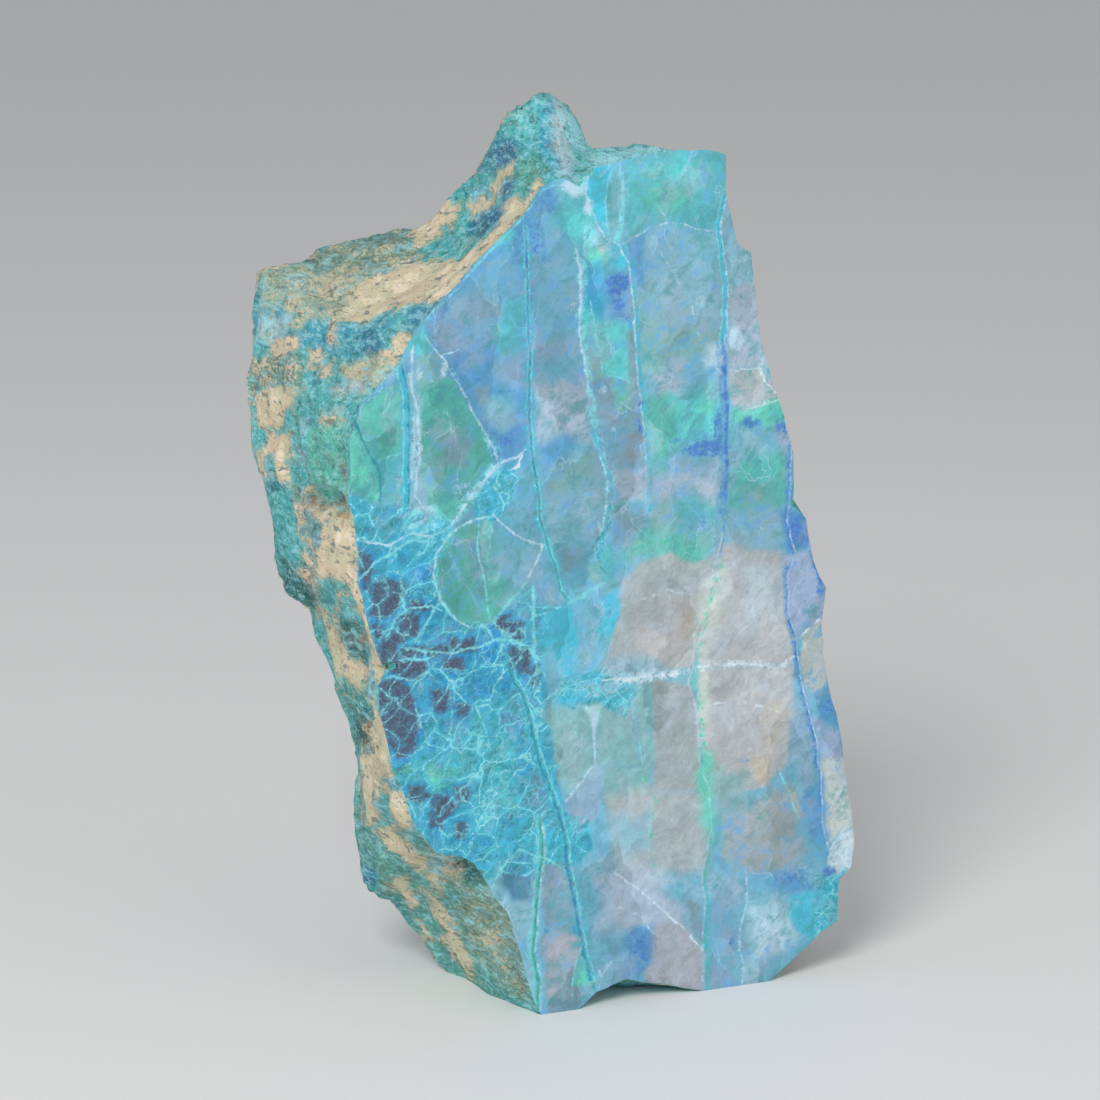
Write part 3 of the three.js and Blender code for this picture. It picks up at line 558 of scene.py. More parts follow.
# Areas of the rough sides that the camera sees: colour, tan crust, softness and corners
ROCK_AREAS = [
    ("rock teal", 0.15, 10, "230,80 620,80 620,1020 230,1020"),
    ("rock blue", 0.25, 8, "250,250 296,240 300,320 246,330"),
    ("olive", 0.35, 6, "285,236 418,215 425,252 400,268 350,276 290,290"),
    ("lichen", 0.4, 6, "256,262 300,250 310,300 262,310"),
    ("lichen", 0.5, 6, "285,280 350,268 400,262 430,256 470,238 480,240 446,296 406,306 353,324 325,320"
     " 285,332"),
    ("straw", 1, 4, "342,320 353,298 372,280 420,266 450,260 476,240 486,240 446,298 426,300 406,308"
     " 353,326"),
    ("rock blue", 0, 4, "285,334 325,321 353,325 406,308 444,297 424,322 398,356 360,362 300,350"),
    ("navy", 0, 3, "409,316 430,300 440,298 422,318 410,322"),
    ("navy", 0, 3, "366,346 376,343 378,356 370,361 364,356"),
    ("navy", 0, 3, "360,332 376,330 376,343 364,344"),
    ("rock green", 0, 3, "383,334 396,331 397,344 386,346"),
    ("sea", 0, 3, "392,316 408,314 407,327 394,328"),
    ("tan", 1, 2, "395,338 408,333 410,346 396,350"),
    ("tan", 1, 3, "379,352 404,344 408,350 380,372 350,376 352,368 372,364"),
    ("tan", 1, 3, "328,322 336,321 334,343 327,344"),
    ("straw", 0.5, 4, "340,366 398,352 380,386 350,388"),
    ("silver", 0.1, 5, "255,318 291,314 290,326 276,341 256,341"),
    ("tan", 1, 4, "273,338 292,336 296,350 282,355 270,352"),
    ("rock blue", 0, 4, "295,332 313,331 312,350 300,352"),
    ("rose", 0.9, 4, "307,352 320,350 320,362 308,366"),
    ("rose", 0.9, 3, "317,368 329,366 328,376 316,378"),
    ("olive", 0.5, 5, "250,356 299,356 299,386 250,390"),
    ("tan", 1, 3, "256,392 300,389 299,404 282,412 279,426 260,428"),
    ("rock teal", 0, 4, "295,396 318,396 316,418 292,418"),
    ("rock green", 0, 3, "326,398 348,393 346,405 328,410"),
    ("white", 0.3, 3, "328,387 366,383 366,393 332,398"),
    ("lichen", 0.5, 4, "320,414 342,412 344,428 322,430"),
    ("silver", 0, 3, "298,421 309,421 308,433 299,433"),
    ("tan", 1, 3, "270,434 290,434 289,484 276,484 274,470 262,480 256,478 258,464 262,446"),
    ("rock teal", 0, 3, "266,456 276,456 276,474 268,474"),
    ("mint", 0.05, 6, "310,430 346,425 350,500 318,500 305,470"),
    ("slate", 0.1, 3, "295,449 308,448 308,461 296,462"),
    ("moss", 0, 3, "338,440 346,440 346,448 338,448"),
    ("brown", 0.5, 3, "335,462 341,462 347,478 341,480"),
    ("navy", 0, 2, "258,486 288,486 288,493 258,493"),
    ("olive", 0.2, 3, "286,486 306,488 308,500 292,502"),
    ("tan", 1, 2, "302,489 315,488 314,497 303,497"),
    ("tan", 0.9, 2.5, "302,506 316,502 348,501 349,514 342,526 330,526 316,520 306,516"),
    # This brown band along the top of the hollow under the notch is painted shade under the overhanging
    # block.
    ("brown", 0.2, 2.5, "302,502 330,501 349,499 349,505 326,508 304,508"),
    ("rust", 0, 4, "340,510 348,508 346,518 341,521"),
    ("tan", 1, 2, "292,502 300,502 303,520 305,535 297,535 292,515"),
    ("sage", 0.2, 2, "303,510 312,515 314,538 304,538"),
    ("tan", 1, 2, "305,539 314,539 312,552 306,552"),
    ("slate", 0, 2, "313,520 320,522 320,570 313,570"),
    ("tan", 1, 2, "319,524 342,528 349,514 356,530 360,552 358,578 343,582 319,580"),
    ("rock teal", 0, 5, "262,490 290,490 296,535 305,552 262,552"),
    ("tan", 1, 2, "300,556 313,554 314,566 302,566"),
    ("pine", 0, 4, "279,562 302,562 302,580 282,580"),
    ("brown", 0.6, 3, "301,566 315,566 318,590 330,620 318,620 306,590"),
    ("pine", 0.1, 5, "272,578 306,580 318,610 290,610 276,600"),
    ("rock teal", 0.05, 3, "319,582 343,584 352,600 356,640 326,640 320,600"),
    ("tan", 1, 1.5, "339,594 343,594 340,614 337,614"),
    ("pine", 0, 3, "334,624 352,620 366,640 350,648 336,644"),
    ("brown", 0.3, 2, "350,636 369,636 369,646 350,648"),
    ("pine", 0, 2, "352,647 370,650 368,662 356,658"),
    ("tan", 1, 2, "344,570 358,574 366,600 380,648 387,671 380,684 378,672 372,646 358,612 346,588"),
    ("straw", 0.8, 4, "320,606 326,606 342,640 352,655 366,672 364,688 340,680 326,640"),
    ("rose", 0.8, 3, "362,664 374,664 374,674 364,674"),
    ("silver", 0.1, 3, "368,674 377,672 376,704 369,704"),
    ("rock green", 0.35, 5, "334,686 368,688 366,714 342,716"),
    # Dark pine, brown and a dark shade line paint the recess low on the left side: painted shade in the
    # hollow over its own green and brown rock.
    ("pine", 0, 3, "356,706 374,704 374,742 352,748 350,730"),
    ("brown", 0.4, 3, "362,724 378,720 380,752 358,758 360,742"),
    ("shade", 0, 1.5, "356,752 378,748 378,754 358,758"),
    ("tan", 1, 1.5, "358,758 380,754 387,778 380,826 362,826 358,790"),
    ("tan", 1, 2, "374,700 380,704 392,748 392,776 380,770 376,730"),
    ("rock teal", 0.1, 3, "377,778 391,776 394,800 388,830 376,830"),
    ("tan", 1, 1.5, "379,781 386,781 386,791 379,791"),
    ("tan", 0.9, 3, "390,790 404,792 414,830 396,832 388,812"),
    ("rock green", 0.1, 3, "350,760 360,760 362,826 352,830"),
    ("rock green", 0.15, 8, "345,830 440,830 530,900 550,1015 480,1000 350,900"),
    ("tan", 0.95, 3, "378,832 392,830 428,862 424,872 400,860"),
    ("tan", 0.9, 3, "393,880 402,878 416,900 412,908"),
    ("tan", 0.9, 3, "419,889 425,888 452,920 474,966 468,972 444,924"),
    ("tan", 0.8, 2, "430,872 435,872 443,892 438,894"),
    ("olive", 0.65, 3, "436,936 446,932 478,974 474,984 456,966"),
    ("tan", 0.8, 3, "414,918 422,920 430,938 422,936"),
    ("straw", 0.6, 4, "428,852 450,852 466,872 458,888 432,874"),
    ("silver", 0.1, 3, "432,852 443,852 442,872 434,872"),
    # This dark pine patch is painted shade in a hollow beside the ridge near the bottom of the left side.
    ("pine", 0, 4, "460,858 486,866 488,884 468,882"),
    ("white", 0, 2, "488,890 497,890 497,899 489,899"),
    ("navy", 0, 5, "360,866 375,868 374,886 362,886"),
    ("rust", 0, 2, "386,886 393,887 391,893 386,892"),
    ("olive", 0.25, 10, "455,885 510,900 535,985 500,985 460,930"),
    ("lichen", 0.5, 8, "480,928 502,932 500,958 484,952"),
    ("olive", 0.4, 8, "506,968 528,972 526,996 508,992"),
    ("lagoon", 0, 8, "496,100 530,95 545,95 545,180 500,180 470,150"),
    ("sea", 0.1, 6, "510,110 542,96 540,150 520,150 500,132"),
    ("navy", 0, 5, "486,150 512,136 523,140 518,156 500,168 484,168"),
    ("straw", 0.9, 3, "466,165 480,146 484,150 474,166"),
    ("rock teal", 0, 3, "456,180 472,166 476,174 462,184"),
    ("straw", 0.9, 3, "498,166 513,162 513,176 500,180"),
    ("straw", 0.9, 3, "484,186 498,176 508,178 504,194 488,196"),
    ("straw", 0.8, 4, "466,206 480,194 494,196 490,214 470,216"),
    ("rock blue", 0, 4, "466,186 484,180 490,192 474,202"),
    ("navy", 0, 4, "500,186 514,178 516,194 504,202"),
    ("navy", 0, 4, "466,222 488,206 506,204 500,226 480,234 468,236"),
    ("straw", 1, 3, "412,216 444,196 456,204 450,220 436,234 414,246"),
    ("rock teal", 0.2, 5, "418,248 440,238 476,238 478,250 460,258 420,268"),
    ("jade", 0.1, 5, "518,154 540,150 545,180 530,200 516,196"),
    ("tan", 1, 3, "505,204 516,198 520,212 510,226 500,222"),
    ("tan", 1, 3, "516,206 540,180 544,184 520,216 494,244 470,270 462,266 482,244 500,222"),
    # The silver, white and foam patches on the peak's right flank are pale rock made paler still: painted
    # light on a flank that faces away from the key lamp.
    ("silver", 0, 4, "545,92 565,92 572,128 546,130"),
    ("white", 0.1, 5, "545,118 568,120 576,164 552,158"),
    ("foam", 0, 5, "562,104 578,104 596,150 590,162 570,152"),
    ("white", 0.1, 5, "552,154 576,152 580,180 560,180"),
    ("cyan", 0, 2, "538,94 550,94 552,140 566,176 554,180 539,146"),
    ("bright", 0, 2, "543,136 549,138 552,146 545,146"),
    ("sea", 0, 3, "575,146 640,140 640,160 600,160 575,166"),
    ("rock teal", 0, 2.5, "572,166 580,166 580,176 573,176"),
    ("foam", 0, 2, "588,152 640,142 706,136 706,156 640,162 592,174"),
]


def camera_axes():
    """The camera's right, up and back directions."""
    level = cos(CAMERA_TILT)
    back = Vector((-sin(CAMERA_TURN) * level, -cos(CAMERA_TURN) * level, sin(CAMERA_TILT)))
    right = Vector((cos(CAMERA_TURN), -sin(CAMERA_TURN), 0))
    return right, back.cross(right), back


def camera_target(low):
    return Vector((TARGET_X, low.y, TARGET_Z))


def photo_pixels(points, low):
    """Where points of the stone lie in the photograph, in pixels from its top left corner."""
    right, up, back = (np.array(axis) for axis in camera_axes())
    offset = points - np.array(camera_target(low))
    scale = PHOTO_SIDE * CAMERA_DISTANCE / VIEW_WIDTH / (CAMERA_DISTANCE - offset @ back)
    middle = PHOTO_SIDE / 2
    return np.stack([middle + offset @ right * scale, middle - offset @ up * scale], 1)


def facing(normals):
    """How squarely points face the camera: 1 straight at it, and below 0 away from it."""
    return normals @ np.array(camera_axes()[2])


def add_object(name, data):
    thing = bpy.data.objects.new(name, data)
    bpy.context.scene.collection.objects.link(thing)
    return thing


def add_camera(low):
    back = camera_axes()[2]
    camera = bpy.data.cameras.new("camera")
    camera.sensor_width = SENSOR
    camera.lens = SENSOR * CAMERA_DISTANCE / VIEW_WIDTH
    holder = add_object("camera", camera)
    holder.location = camera_target(low) + back * CAMERA_DISTANCE
    holder.rotation_euler = back.to_track_quat("Z", "Y").to_euler()
    bpy.context.scene.camera = holder


def lattice(cells, seed):
    """A repeatable random value from -1 to 1 for each whole-numbered cell."""
    cells = cells.astype(np.int64).astype(np.uint64)
    mixed = (cells * np.array(SCATTER, np.uint64)).sum(1) + np.uint64(seed * SEED_FACTOR)
    mixed ^= mixed >> np.uint64(MIX_SHIFTS[0])
    mixed *= np.uint64(MIX_FACTOR)
    mixed ^= mixed >> np.uint64(MIX_SHIFTS[1])
    return (mixed % np.uint64(NOISE_STEPS)).astype(float) / (NOISE_STEPS / 2) - 1


def noise(points, size, seed):
    """Smooth noise from -1 to 1, with lumps about as wide as the given size."""
    scaled = points / size + seed * SEED_SHIFT
    base = np.floor(scaled)
    part = scaled - base
    part = part * part * (3 - 2 * part)
    total = np.zeros(len(points))
    for corner in np.ndindex(2, 2, 2):
        weight = np.prod(np.where(corner, part, 1 - part), axis=1)
        total += weight * lattice(base + np.array(corner), seed)
    return total


def clouds(points, size, seed, octaves=3):
    """Noise with finer noise on it."""
    total = sum(noise(points, size / 2**step, seed + step) / 2**step for step in range(octaves))
    return total / CLOUD_RANGE


def side_by_side(field, points, size, seed):
    """Two noises of one kind, with which pixels are pushed across and down."""
    return np.stack([field(points, size, seed), field(points, size, seed + 1)], 1)


def ramp(values, start, end):
    """0 at start, 1 at end and a smooth step between them, also where start is above end."""
    part = np.clip((values - start) / (end - start), 0, 1)
    return part * part * (3 - 2 * part)


def read_mesh(items, name, width, kind):
    """What Blender keeps of a mesh's points or edges under one name, a row for each."""
    values = np.empty(len(items) * width, kind)
    items.foreach_get(name, values)
    return values.reshape(-1, width)


def mesh_points(mesh):
    return read_mesh(mesh.vertices, "co", 3, np.float32).astype(float)


def mesh_normals(mesh):
    return read_mesh(mesh.vertex_normals, "vector", 3, np.float32).astype(float)


def mesh_edges(mesh):
    return read_mesh(mesh.edges, "vertices", 2, np.int32)


def set_points(mesh, points):
    mesh.vertices.foreach_set("co", points.astype(np.float32).ravel())
    mesh.update()


def neighbour_sums(values, edges):
    """For each point, the sum of the values at the points that it shares an edge with."""
    total = np.zeros_like(values)
    np.add.at(total, edges[:, 0], values[edges[:, 1]])
    np.add.at(total, edges[:, 1], values[edges[:, 0]])
    return total


def neighbour_means(values, edges):
    """For each point, the mean of the values at the points that it shares an edge with."""
    count = np.maximum(np.bincount(edges.ravel(), minlength=len(values)), 1)
    return (neighbour_sums(values, edges).T / count).T


def remeshed(source, low, high):
    """The CAD solid as an even mesh that keeps its sharp rim."""
    draft = add_object("draft", source.data.copy())
    weld = draft.modifiers.new("weld", "WELD")
    weld.merge_threshold = WELD_GAP
    remesh = draft.modifiers.new("remesh", "REMESH")
    remesh.mode = "SHARP"
    remesh.octree_depth = REMESH_DEPTH
    remesh.scale = max(high - low) / (2**REMESH_DEPTH * CELL)
    graph = bpy.context.evaluated_depsgraph_get()
    mesh = bpy.data.meshes.new_from_object(draft.evaluated_get(graph))
    bpy.data.objects.remove(draft)
    return mesh


def refine_face(mesh, low):
    """Halve the cells of the polished face, which carries the finest markings."""
    form = bmesh.new()
    form.from_mesh(mesh)
    edges = [edge for edge in form.edges if all(v.co.y < low.y + FACE_GAP for v in edge.verts)]
    bmesh.ops.subdivide_edges(form, edges=edges, cuts=1, use_grid_fill=True)
    bmesh.ops.triangulate(form, faces=[face for face in form.faces if len(face.verts) > 4])
    form.to_mesh(mesh)
    form.free()


def smooth_rough_points(mesh, fixed):
    """Take the facets of the CAD mesh off the rough sides."""
    edges = mesh_edges(mesh)
    points = mesh_points(mesh)
    for _ in range(SMOOTHING_ROUNDS):
        moved = points + (neighbour_means(points, edges) - points) * SMOOTHING
        points = np.where(fixed[:, None], points, moved)
    set_points(mesh, points)


def even_normals(mesh):
    """Normals averaged over some cells, so that moving points along them makes no folds."""
    edges = mesh_edges(mesh)
    normals = mesh_normals(mesh)
    for _ in range(NORMAL_ROUNDS):
        normals = normals + neighbour_sums(normals, edges)
        normals /= np.maximum(np.linalg.norm(normals, axis=1), TINY)[:, None]
    return normals


def base_mesh(source, low, high):
    """The stone's mesh before its relief, and which of its points lie on the polished face."""
    mesh = remeshed(source, low, high)
    refine_face(mesh, low)
    points = mesh_points(mesh)
    on_face = points[:, 1] < low.y + FACE_GAP
    on_base = points[:, 2] < BASE_GAP
    points[on_face, 1] = low.y
    set_points(mesh, points)
    smooth_rough_points(mesh, on_face | on_base)
    return mesh, on_face


def thickness(mesh, points, normals):
    """How thick the stone is under each point, or THIN where it is thicker than that, evened out over
    some cells."""
    form = bmesh.new()
    form.from_mesh(mesh)
    tree = BVHTree.FromBMesh(form)
    form.free()
    starts = points - normals * RAY_GAP
    hits = [tree.ray_cast(Vector(start), Vector(-normal), THIN)[3] for start, normal in zip(starts, normals)]
    thick = np.array([THIN if hit is None else hit for hit in hits])
    edges = mesh_edges(mesh)
    for _ in range(THIN_ROUNDS):
        thick = (thick + neighbour_means(thick, edges)) / 2
    return thick


def relief(points, normals, crust, low):
    """How deep the rough sides lie below the CAD surface, in metres and below zero where they rise above
    it, least where crust is: layers, lumps and grain all round, and broken steps out of the camera's view."""
    warp = sum(noise(points, size, seed) * height for size, height, seed in LAYER_WAVES)
    bedding = (points + np.outer(warp, (0, 1, 0))) * LAYER_STRETCH
    layers = ramp(noise(bedding, LAYER_PITCH, seed=5), *LAYER_RANGE)
    sideways = 1 - np.abs(normals[:, 1])
    lumps = ramp(clouds(points, LUMP_SIZE, seed=8), *LUMP_RANGE)
    grain = ramp(clouds(points, GRAIN_SIZE, seed=12, octaves=2), *GRAIN_RANGE)
    steps = sum(ramp(clouds(points, size, seed), start, end) for size, seed, start, end in STEPS)
    away = ramp(facing(normals), *STEPS_FACING)
    depth = layers * LAYER_DEPTH * sideways + lumps * LUMP_DEPTH + grain * GRAIN_DEPTH
    depth += (1 - crust) * CRUST_DEPTH + steps * STEP_DEPTH * away - RELIEF_LIFT
    return depth * ramp(points[:, 1] - low.y, 0, RELIEF_FADE) * ramp(points[:, 2], BASE_GAP, RELIEF_FADE)


def carve(mesh, normals, depth, on_face, low, high):
    """Move the rough sides by their relief and round the rim of the polished face a little."""
    points = np.clip(mesh_points(mesh) - normals * depth[:, None], np.array(low), np.array(high))
    points[on_face, 1] = low.y
    edges = mesh_edges(mesh)
    crossing = edges[on_face[edges[:, 0]] != on_face[edges[:, 1]]].ravel()
    rim = np.zeros(len(points), bool)
    rim[crossing] = True
    points[rim & on_face, 1] += RIM_ROUNDING
    set_points(mesh, points)


def linear(name):
    """A palette colour as linear red, green and blue."""
    text = PALETTE[name]
    values = np.array([int(text[place:place + 2], 16) / 255 for place in (1, 3, 5)])
    return np.where(values <= 0.04045, values / 12.92, ((values + 0.055) / 1.055) ** 2.4)


def corners(text):
    return np.array([[float(value) for value in pair.split(",")] for pair in text.split()])


def along_segment(pixels, start, end):
    """Nearest place on a segment, and how far each pixel is from it."""
    course = end - start
    part = (pixels - start) @ course / (course @ course)
    nearest = start + np.clip(part, 0, 1)[:, None] * course
    return part, np.linalg.norm(pixels - nearest, axis=1)


def inside_by(pixels, outline):
    """Distance to an outline: positive inside it and negative outside."""
    distance = np.full(len(pixels), np.inf)
    inside = np.zeros(len(pixels), bool)
    for start, end in zip(outline, np.roll(outline, -1, axis=0)):
        distance = np.minimum(distance, along_segment(pixels, start, end)[1])
        spans = (start[1] > pixels[:, 1]) != (end[1] > pixels[:, 1])
        rise = end[1] - start[1] if end[1] != start[1] else 1
        crossing = start[0] + (pixels[:, 1] - start[1]) * (end[0] - start[0]) / rise
        inside ^= spans & (pixels[:, 0] < crossing)
    return np.where(inside, distance, -distance)


def near_places(pixels, places, margin):
    """Numbers of the pixels in the box around some places."""
    return np.flatnonzero(((pixels > places.min(0) - margin) & (pixels < places.max(0) + margin)).all(1))


def areas_depth(pixels, texts, reach):
    """Distance into the nearest of some areas: negative outside them, and never below -reach."""
    depth = np.full(len(pixels), -float(reach))
    for text in texts:
        outline = corners(text)
        near = near_places(pixels, outline, reach)
        depth[near] = np.maximum(depth[near], inside_by(pixels[near], outline))
    return depth


def area_cover(pixels, text, softness):
    return ramp(areas_depth(pixels, [text], softness), -softness, softness)


def spots_cover(pixels, spots):
    total = np.zeros(len(pixels))
    for x, y, width, height, amount in spots:
        offset = (pixels - (x, y)) / (width / 2, height / 2)
        total = np.maximum(total, amount * (1 - ramp(np.linalg.norm(offset, axis=1), *SPOT_EDGE)))
    return total


def course_field(pixels, places):
    """For each pixel: its signed distance to a course, positive on the right of one that goes down,
    the length of the course up to there, the way to the nearer end, and how far it is past an end."""
    best = np.full(len(pixels), np.inf)
    side = np.zeros(len(pixels))
    length = np.zeros(len(pixels))
    past = np.zeros(len(pixels))
    travelled = 0
    for number, (start, end) in enumerate(zip(places, places[1:])):
        part, distance = along_segment(pixels, start, end)
        step = end - start
        reach = np.linalg.norm(step)
        nearer = distance < best
        offset = pixels - start
        turn = step[1] * offset[:, 0] - step[0] * offset[:, 1]
        best = np.where(nearer, distance, best)
        side = np.where(nearer, np.where(turn >= 0, 1, -1), side)
        length = np.where(nearer, travelled + np.clip(part, 0, 1) * reach, length)
        before = np.maximum(-part, 0) * reach if number == 0 else 0
        after = np.maximum(part - 1, 0) * reach if number == len(places) - 2 else 0
        past = np.where(nearer, np.maximum(before, after), past)
        travelled += reach
    ends = np.minimum(length, travelled - length)
    return best * side, length, ends, past


class StrokeLayer:
    """Strokes that stay clear of each other: distance, half width, strength and colour at each point."""

    def __init__(self, count):
        self.distance = np.full(count, FAR)
        self.half = np.full(count, HIDDEN)
        self.strength = np.zeros(count)
        self.colour = np.zeros((count, 3))
        self.claimed = np.zeros(count, bool)

    def add(self, chosen, distance, half, strength, colour):
        closer = np.abs(distance) < np.abs(self.distance[chosen])
        numbers = chosen[closer]
        self.distance[numbers] = distance[closer]
        self.half[numbers] = half[closer]
        self.strength[numbers] = strength
        self.colour[numbers] = linear(colour)


def stroke_shape(pixels, number, course, shift, width, rows):
    """The pixels in a stroke's box, how far each is from its middle and past its ends, and half the
    stroke's width there."""
    places = corners(PATHS[course])
    chosen = near_places(pixels, places, STROKE_BOX)
    distance, length, ends, past = course_field(pixels[chosen], places)
    top, bottom = rows or (0, PHOTO_SIDE)
    ends = np.minimum(ends, np.minimum(pixels[chosen, 1] - top, bottom - pixels[chosen, 1]))
    along = np.stack([length, np.full(len(chosen), number * STROKE_SPACING), length * 0], 1)
    wave = WIDTH_MEAN + WIDTH_SWING * noise(along, WIDTH_WAVE, seed=60)
    half = width / 2 * wave * ramp(ends, STROKE_START, STROKE_TAPER)
    half += HIDDEN * (1 - ramp(ends, STROKE_END, 0)) - past * STROKE_CLOSING
    return chosen, distance - shift, np.maximum(past, -ends), half


def place_strokes(pixels):
    """Sort the strokes into layers in which none comes near another."""
    layers = []
    for number, (course, shift, width, colour, strength, *rows) in enumerate(STROKES):
        chosen, distance, outside, half = stroke_shape(pixels, number, course, shift, width, rows)
        gap = np.abs(distance) - width / 2
        near = (gap < STROKE_REACH) & (outside < STROKE_REACH)
        taken = [index for index, layer in enumerate(layers) if layer.claimed[chosen[near]].any()]
        level = max(taken, default=-1) + 1
        if level == len(layers):
            layers.append(StrokeLayer(len(pixels)))
        layers[level].add(chosen, distance, np.where(near, half, HIDDEN), strength, colour)
        claim = (gap < 2 * STROKE_REACH) & (outside < 2 * STROKE_REACH)
        layers[level].claimed[chosen[claim]] = True
    return layers


def laid_over(ground, colour, cover):
    """A ground with a palette colour laid over it, at each point as strongly as the cover says."""
    return ground * (1 - cover[:, None]) + linear(colour) * cover[:, None]


def paint_face(pixels, points):
    """Ground colour and mineral amounts of the polished face."""
    broad = side_by_side(clouds, points, BROAD_SIZE, seed=35)
    wander = side_by_side(clouds, points, WANDER_SIZE, seed=31)
    fine = side_by_side(noise, points, FINE_SIZE, seed=33)
    ground = np.tile(linear("sky"), (len(pixels), 1))
    for colour, softness, text in FACE_AREAS:
        drift = broad * max(softness - BROAD_FROM, 0) * BROAD_SHARE
        drift += wander * min(softness, WANDER_MOST) + fine * min(softness * FINE_SHARE, FINE_MOST)
        ground = laid_over(ground, colour, area_cover(pixels + drift, text, softness) * AREA_STRENGTH)
    moved = pixels + wander * SPOT_WANDER + fine * FINE_MOST
    amounts = {
        "azurite": spots_cover(moved, AZURITE_SPOTS),
        "green": spots_cover(moved, GREEN_SPOTS),
        "milk": spots_cover(moved, MILK_SPOTS),
        "crackle": ramp(areas_depth(moved, CRACKLE_AREAS, AREA_REACH), *CRACKLE_EDGE),
        "dark": areas_depth(pixels, DARK_AREAS, DARK_REACH),
        "calm": ramp(areas_depth(moved, CALM_AREAS, AREA_REACH), *CALM_EDGE),
    }
    return ground, amounts


def made_up_rock(points):
    """Ground colour and tan crust of the rough sides where the photograph doesn't show them."""
    layered = points * ROCK_STRETCH
    hue = clouds(layered, HUE_SIZE, seed=41)
    tone = clouds(layered, TONE_SIZE, seed=42)
    ground = np.tile(linear("rock teal"), (len(points), 1))
    for colour, field, start in (("rock green", hue, 0.0), ("rock blue", -hue, 0.15), ("olive", tone, 0.3),
                                 ("navy", -tone, 0.45)):
        ground = laid_over(ground, colour, ramp(field, start, start + TONE_SOFTNESS) * TONE_STRENGTH)
    return ground, ramp(clouds(layered, CRUST_SIZE, seed=43), *CRUST_RANGE)


def paint_rock(pixels, points, normals):
    """Ground colour and tan crust of the rough sides: as seen from the camera, and made up elsewhere."""
    made_up, made_up_crust = made_up_rock(points)
    seen, crust = made_up, made_up_crust
    moved = pixels + side_by_side(clouds, points, ROCK_WANDER_SIZE, seed=44) * ROCK_WANDER
    for colour, amount, softness, text in ROCK_AREAS:
        cover = area_cover(moved, text, max(softness, CRUST_SOFTNESS))
        seen = laid_over(seen, colour, cover)
        crust = crust * (1 - cover) + amount * cover
    shown = ramp(facing(normals), *SEEN_FACING)
    ground = made_up * (1 - shown[:, None]) + seen * shown[:, None]
    return ground, made_up_crust * (1 - shown) + crust * shown


def add_field(mesh, name, values, kind="FLOAT", key="value"):
    """Store a value, vector or colour for each point of the mesh."""
    field = mesh.attributes.new(name, kind, "POINT")
    field.data.foreach_set(key, values.astype(np.float32).ravel())


def add_colours(mesh, name, values):
    full = np.concatenate([values, np.ones((len(values), 1))], axis=1)
    add_field(mesh, name, full, "FLOAT_COLOR", "color")


def store_face(mesh, points, on_face, low):
    """Store the face's colours, amounts and strokes on the mesh, and say how many stroke layers it has."""
    face = np.flatnonzero(on_face)
    pixels = photo_pixels(points[face], low)

    def whole(values):
        spread = np.zeros((len(points), *values.shape[1:]))
        spread[face] = values
        return spread

    ground, amounts = paint_face(pixels, points[face])
    add_colours(mesh, "ground", whole(ground))
    for name, values in amounts.items():
        add_field(mesh, name, whole(values))
    layers = place_strokes(pixels)
    for number, layer in enumerate(layers):
        field = np.stack([layer.distance, layer.half, layer.strength], 1)
        add_field(mesh, f"stroke field {number}", whole(field), "FLOAT_VECTOR", "vector")
        add_colours(mesh, f"stroke colour {number}", whole(layer.colour))
    return len(layers)


def sharpen_rim(mesh, polished):
    """Keep the shading of the flat face apart from that of the rough sides along its rim."""
    sides = {}
    for face, flat in zip(mesh.polygons, polished):
        for key in face.edge_keys:
            sides.setdefault(key, set()).add(flat)
    sharp = [len(sides[edge.key]) > 1 for edge in mesh.edges]
    mesh.edges.foreach_set("use_edge_sharp", sharp)


def make_surface(source, low, high):
    """The stone's finished mesh with its colours stored on it, which of its faces are polished, and its
    number of stroke layers."""
    mesh, on_face = base_mesh(source, low, high)
    points = mesh_points(mesh)
    normals = even_normals(mesh)
    ground, crust = paint_rock(photo_pixels(points, low), points, normals)
    depth = relief(points, normals, crust, low)
    depth = np.minimum(depth, thickness(mesh, points, normals) * THIN_SHARE)
    add_colours(mesh, "rock ground", ground)
    add_field(mesh, "crust", crust)
    # The relief's depth is kept for the rind's shader, which turns it into painted shade in deep hollows and
    # painted light on high ground.
    add_field(mesh, "depth", (depth + RELIEF_LIFT) / MM)
    layers = store_face(mesh, points, on_face, low)
    carve(mesh, normals, depth, on_face, low, high)
    polished = [all(on_face[v] for v in face.vertices) for face in mesh.polygons]
    sharpen_rim(mesh, polished)
    return mesh, polished, layers


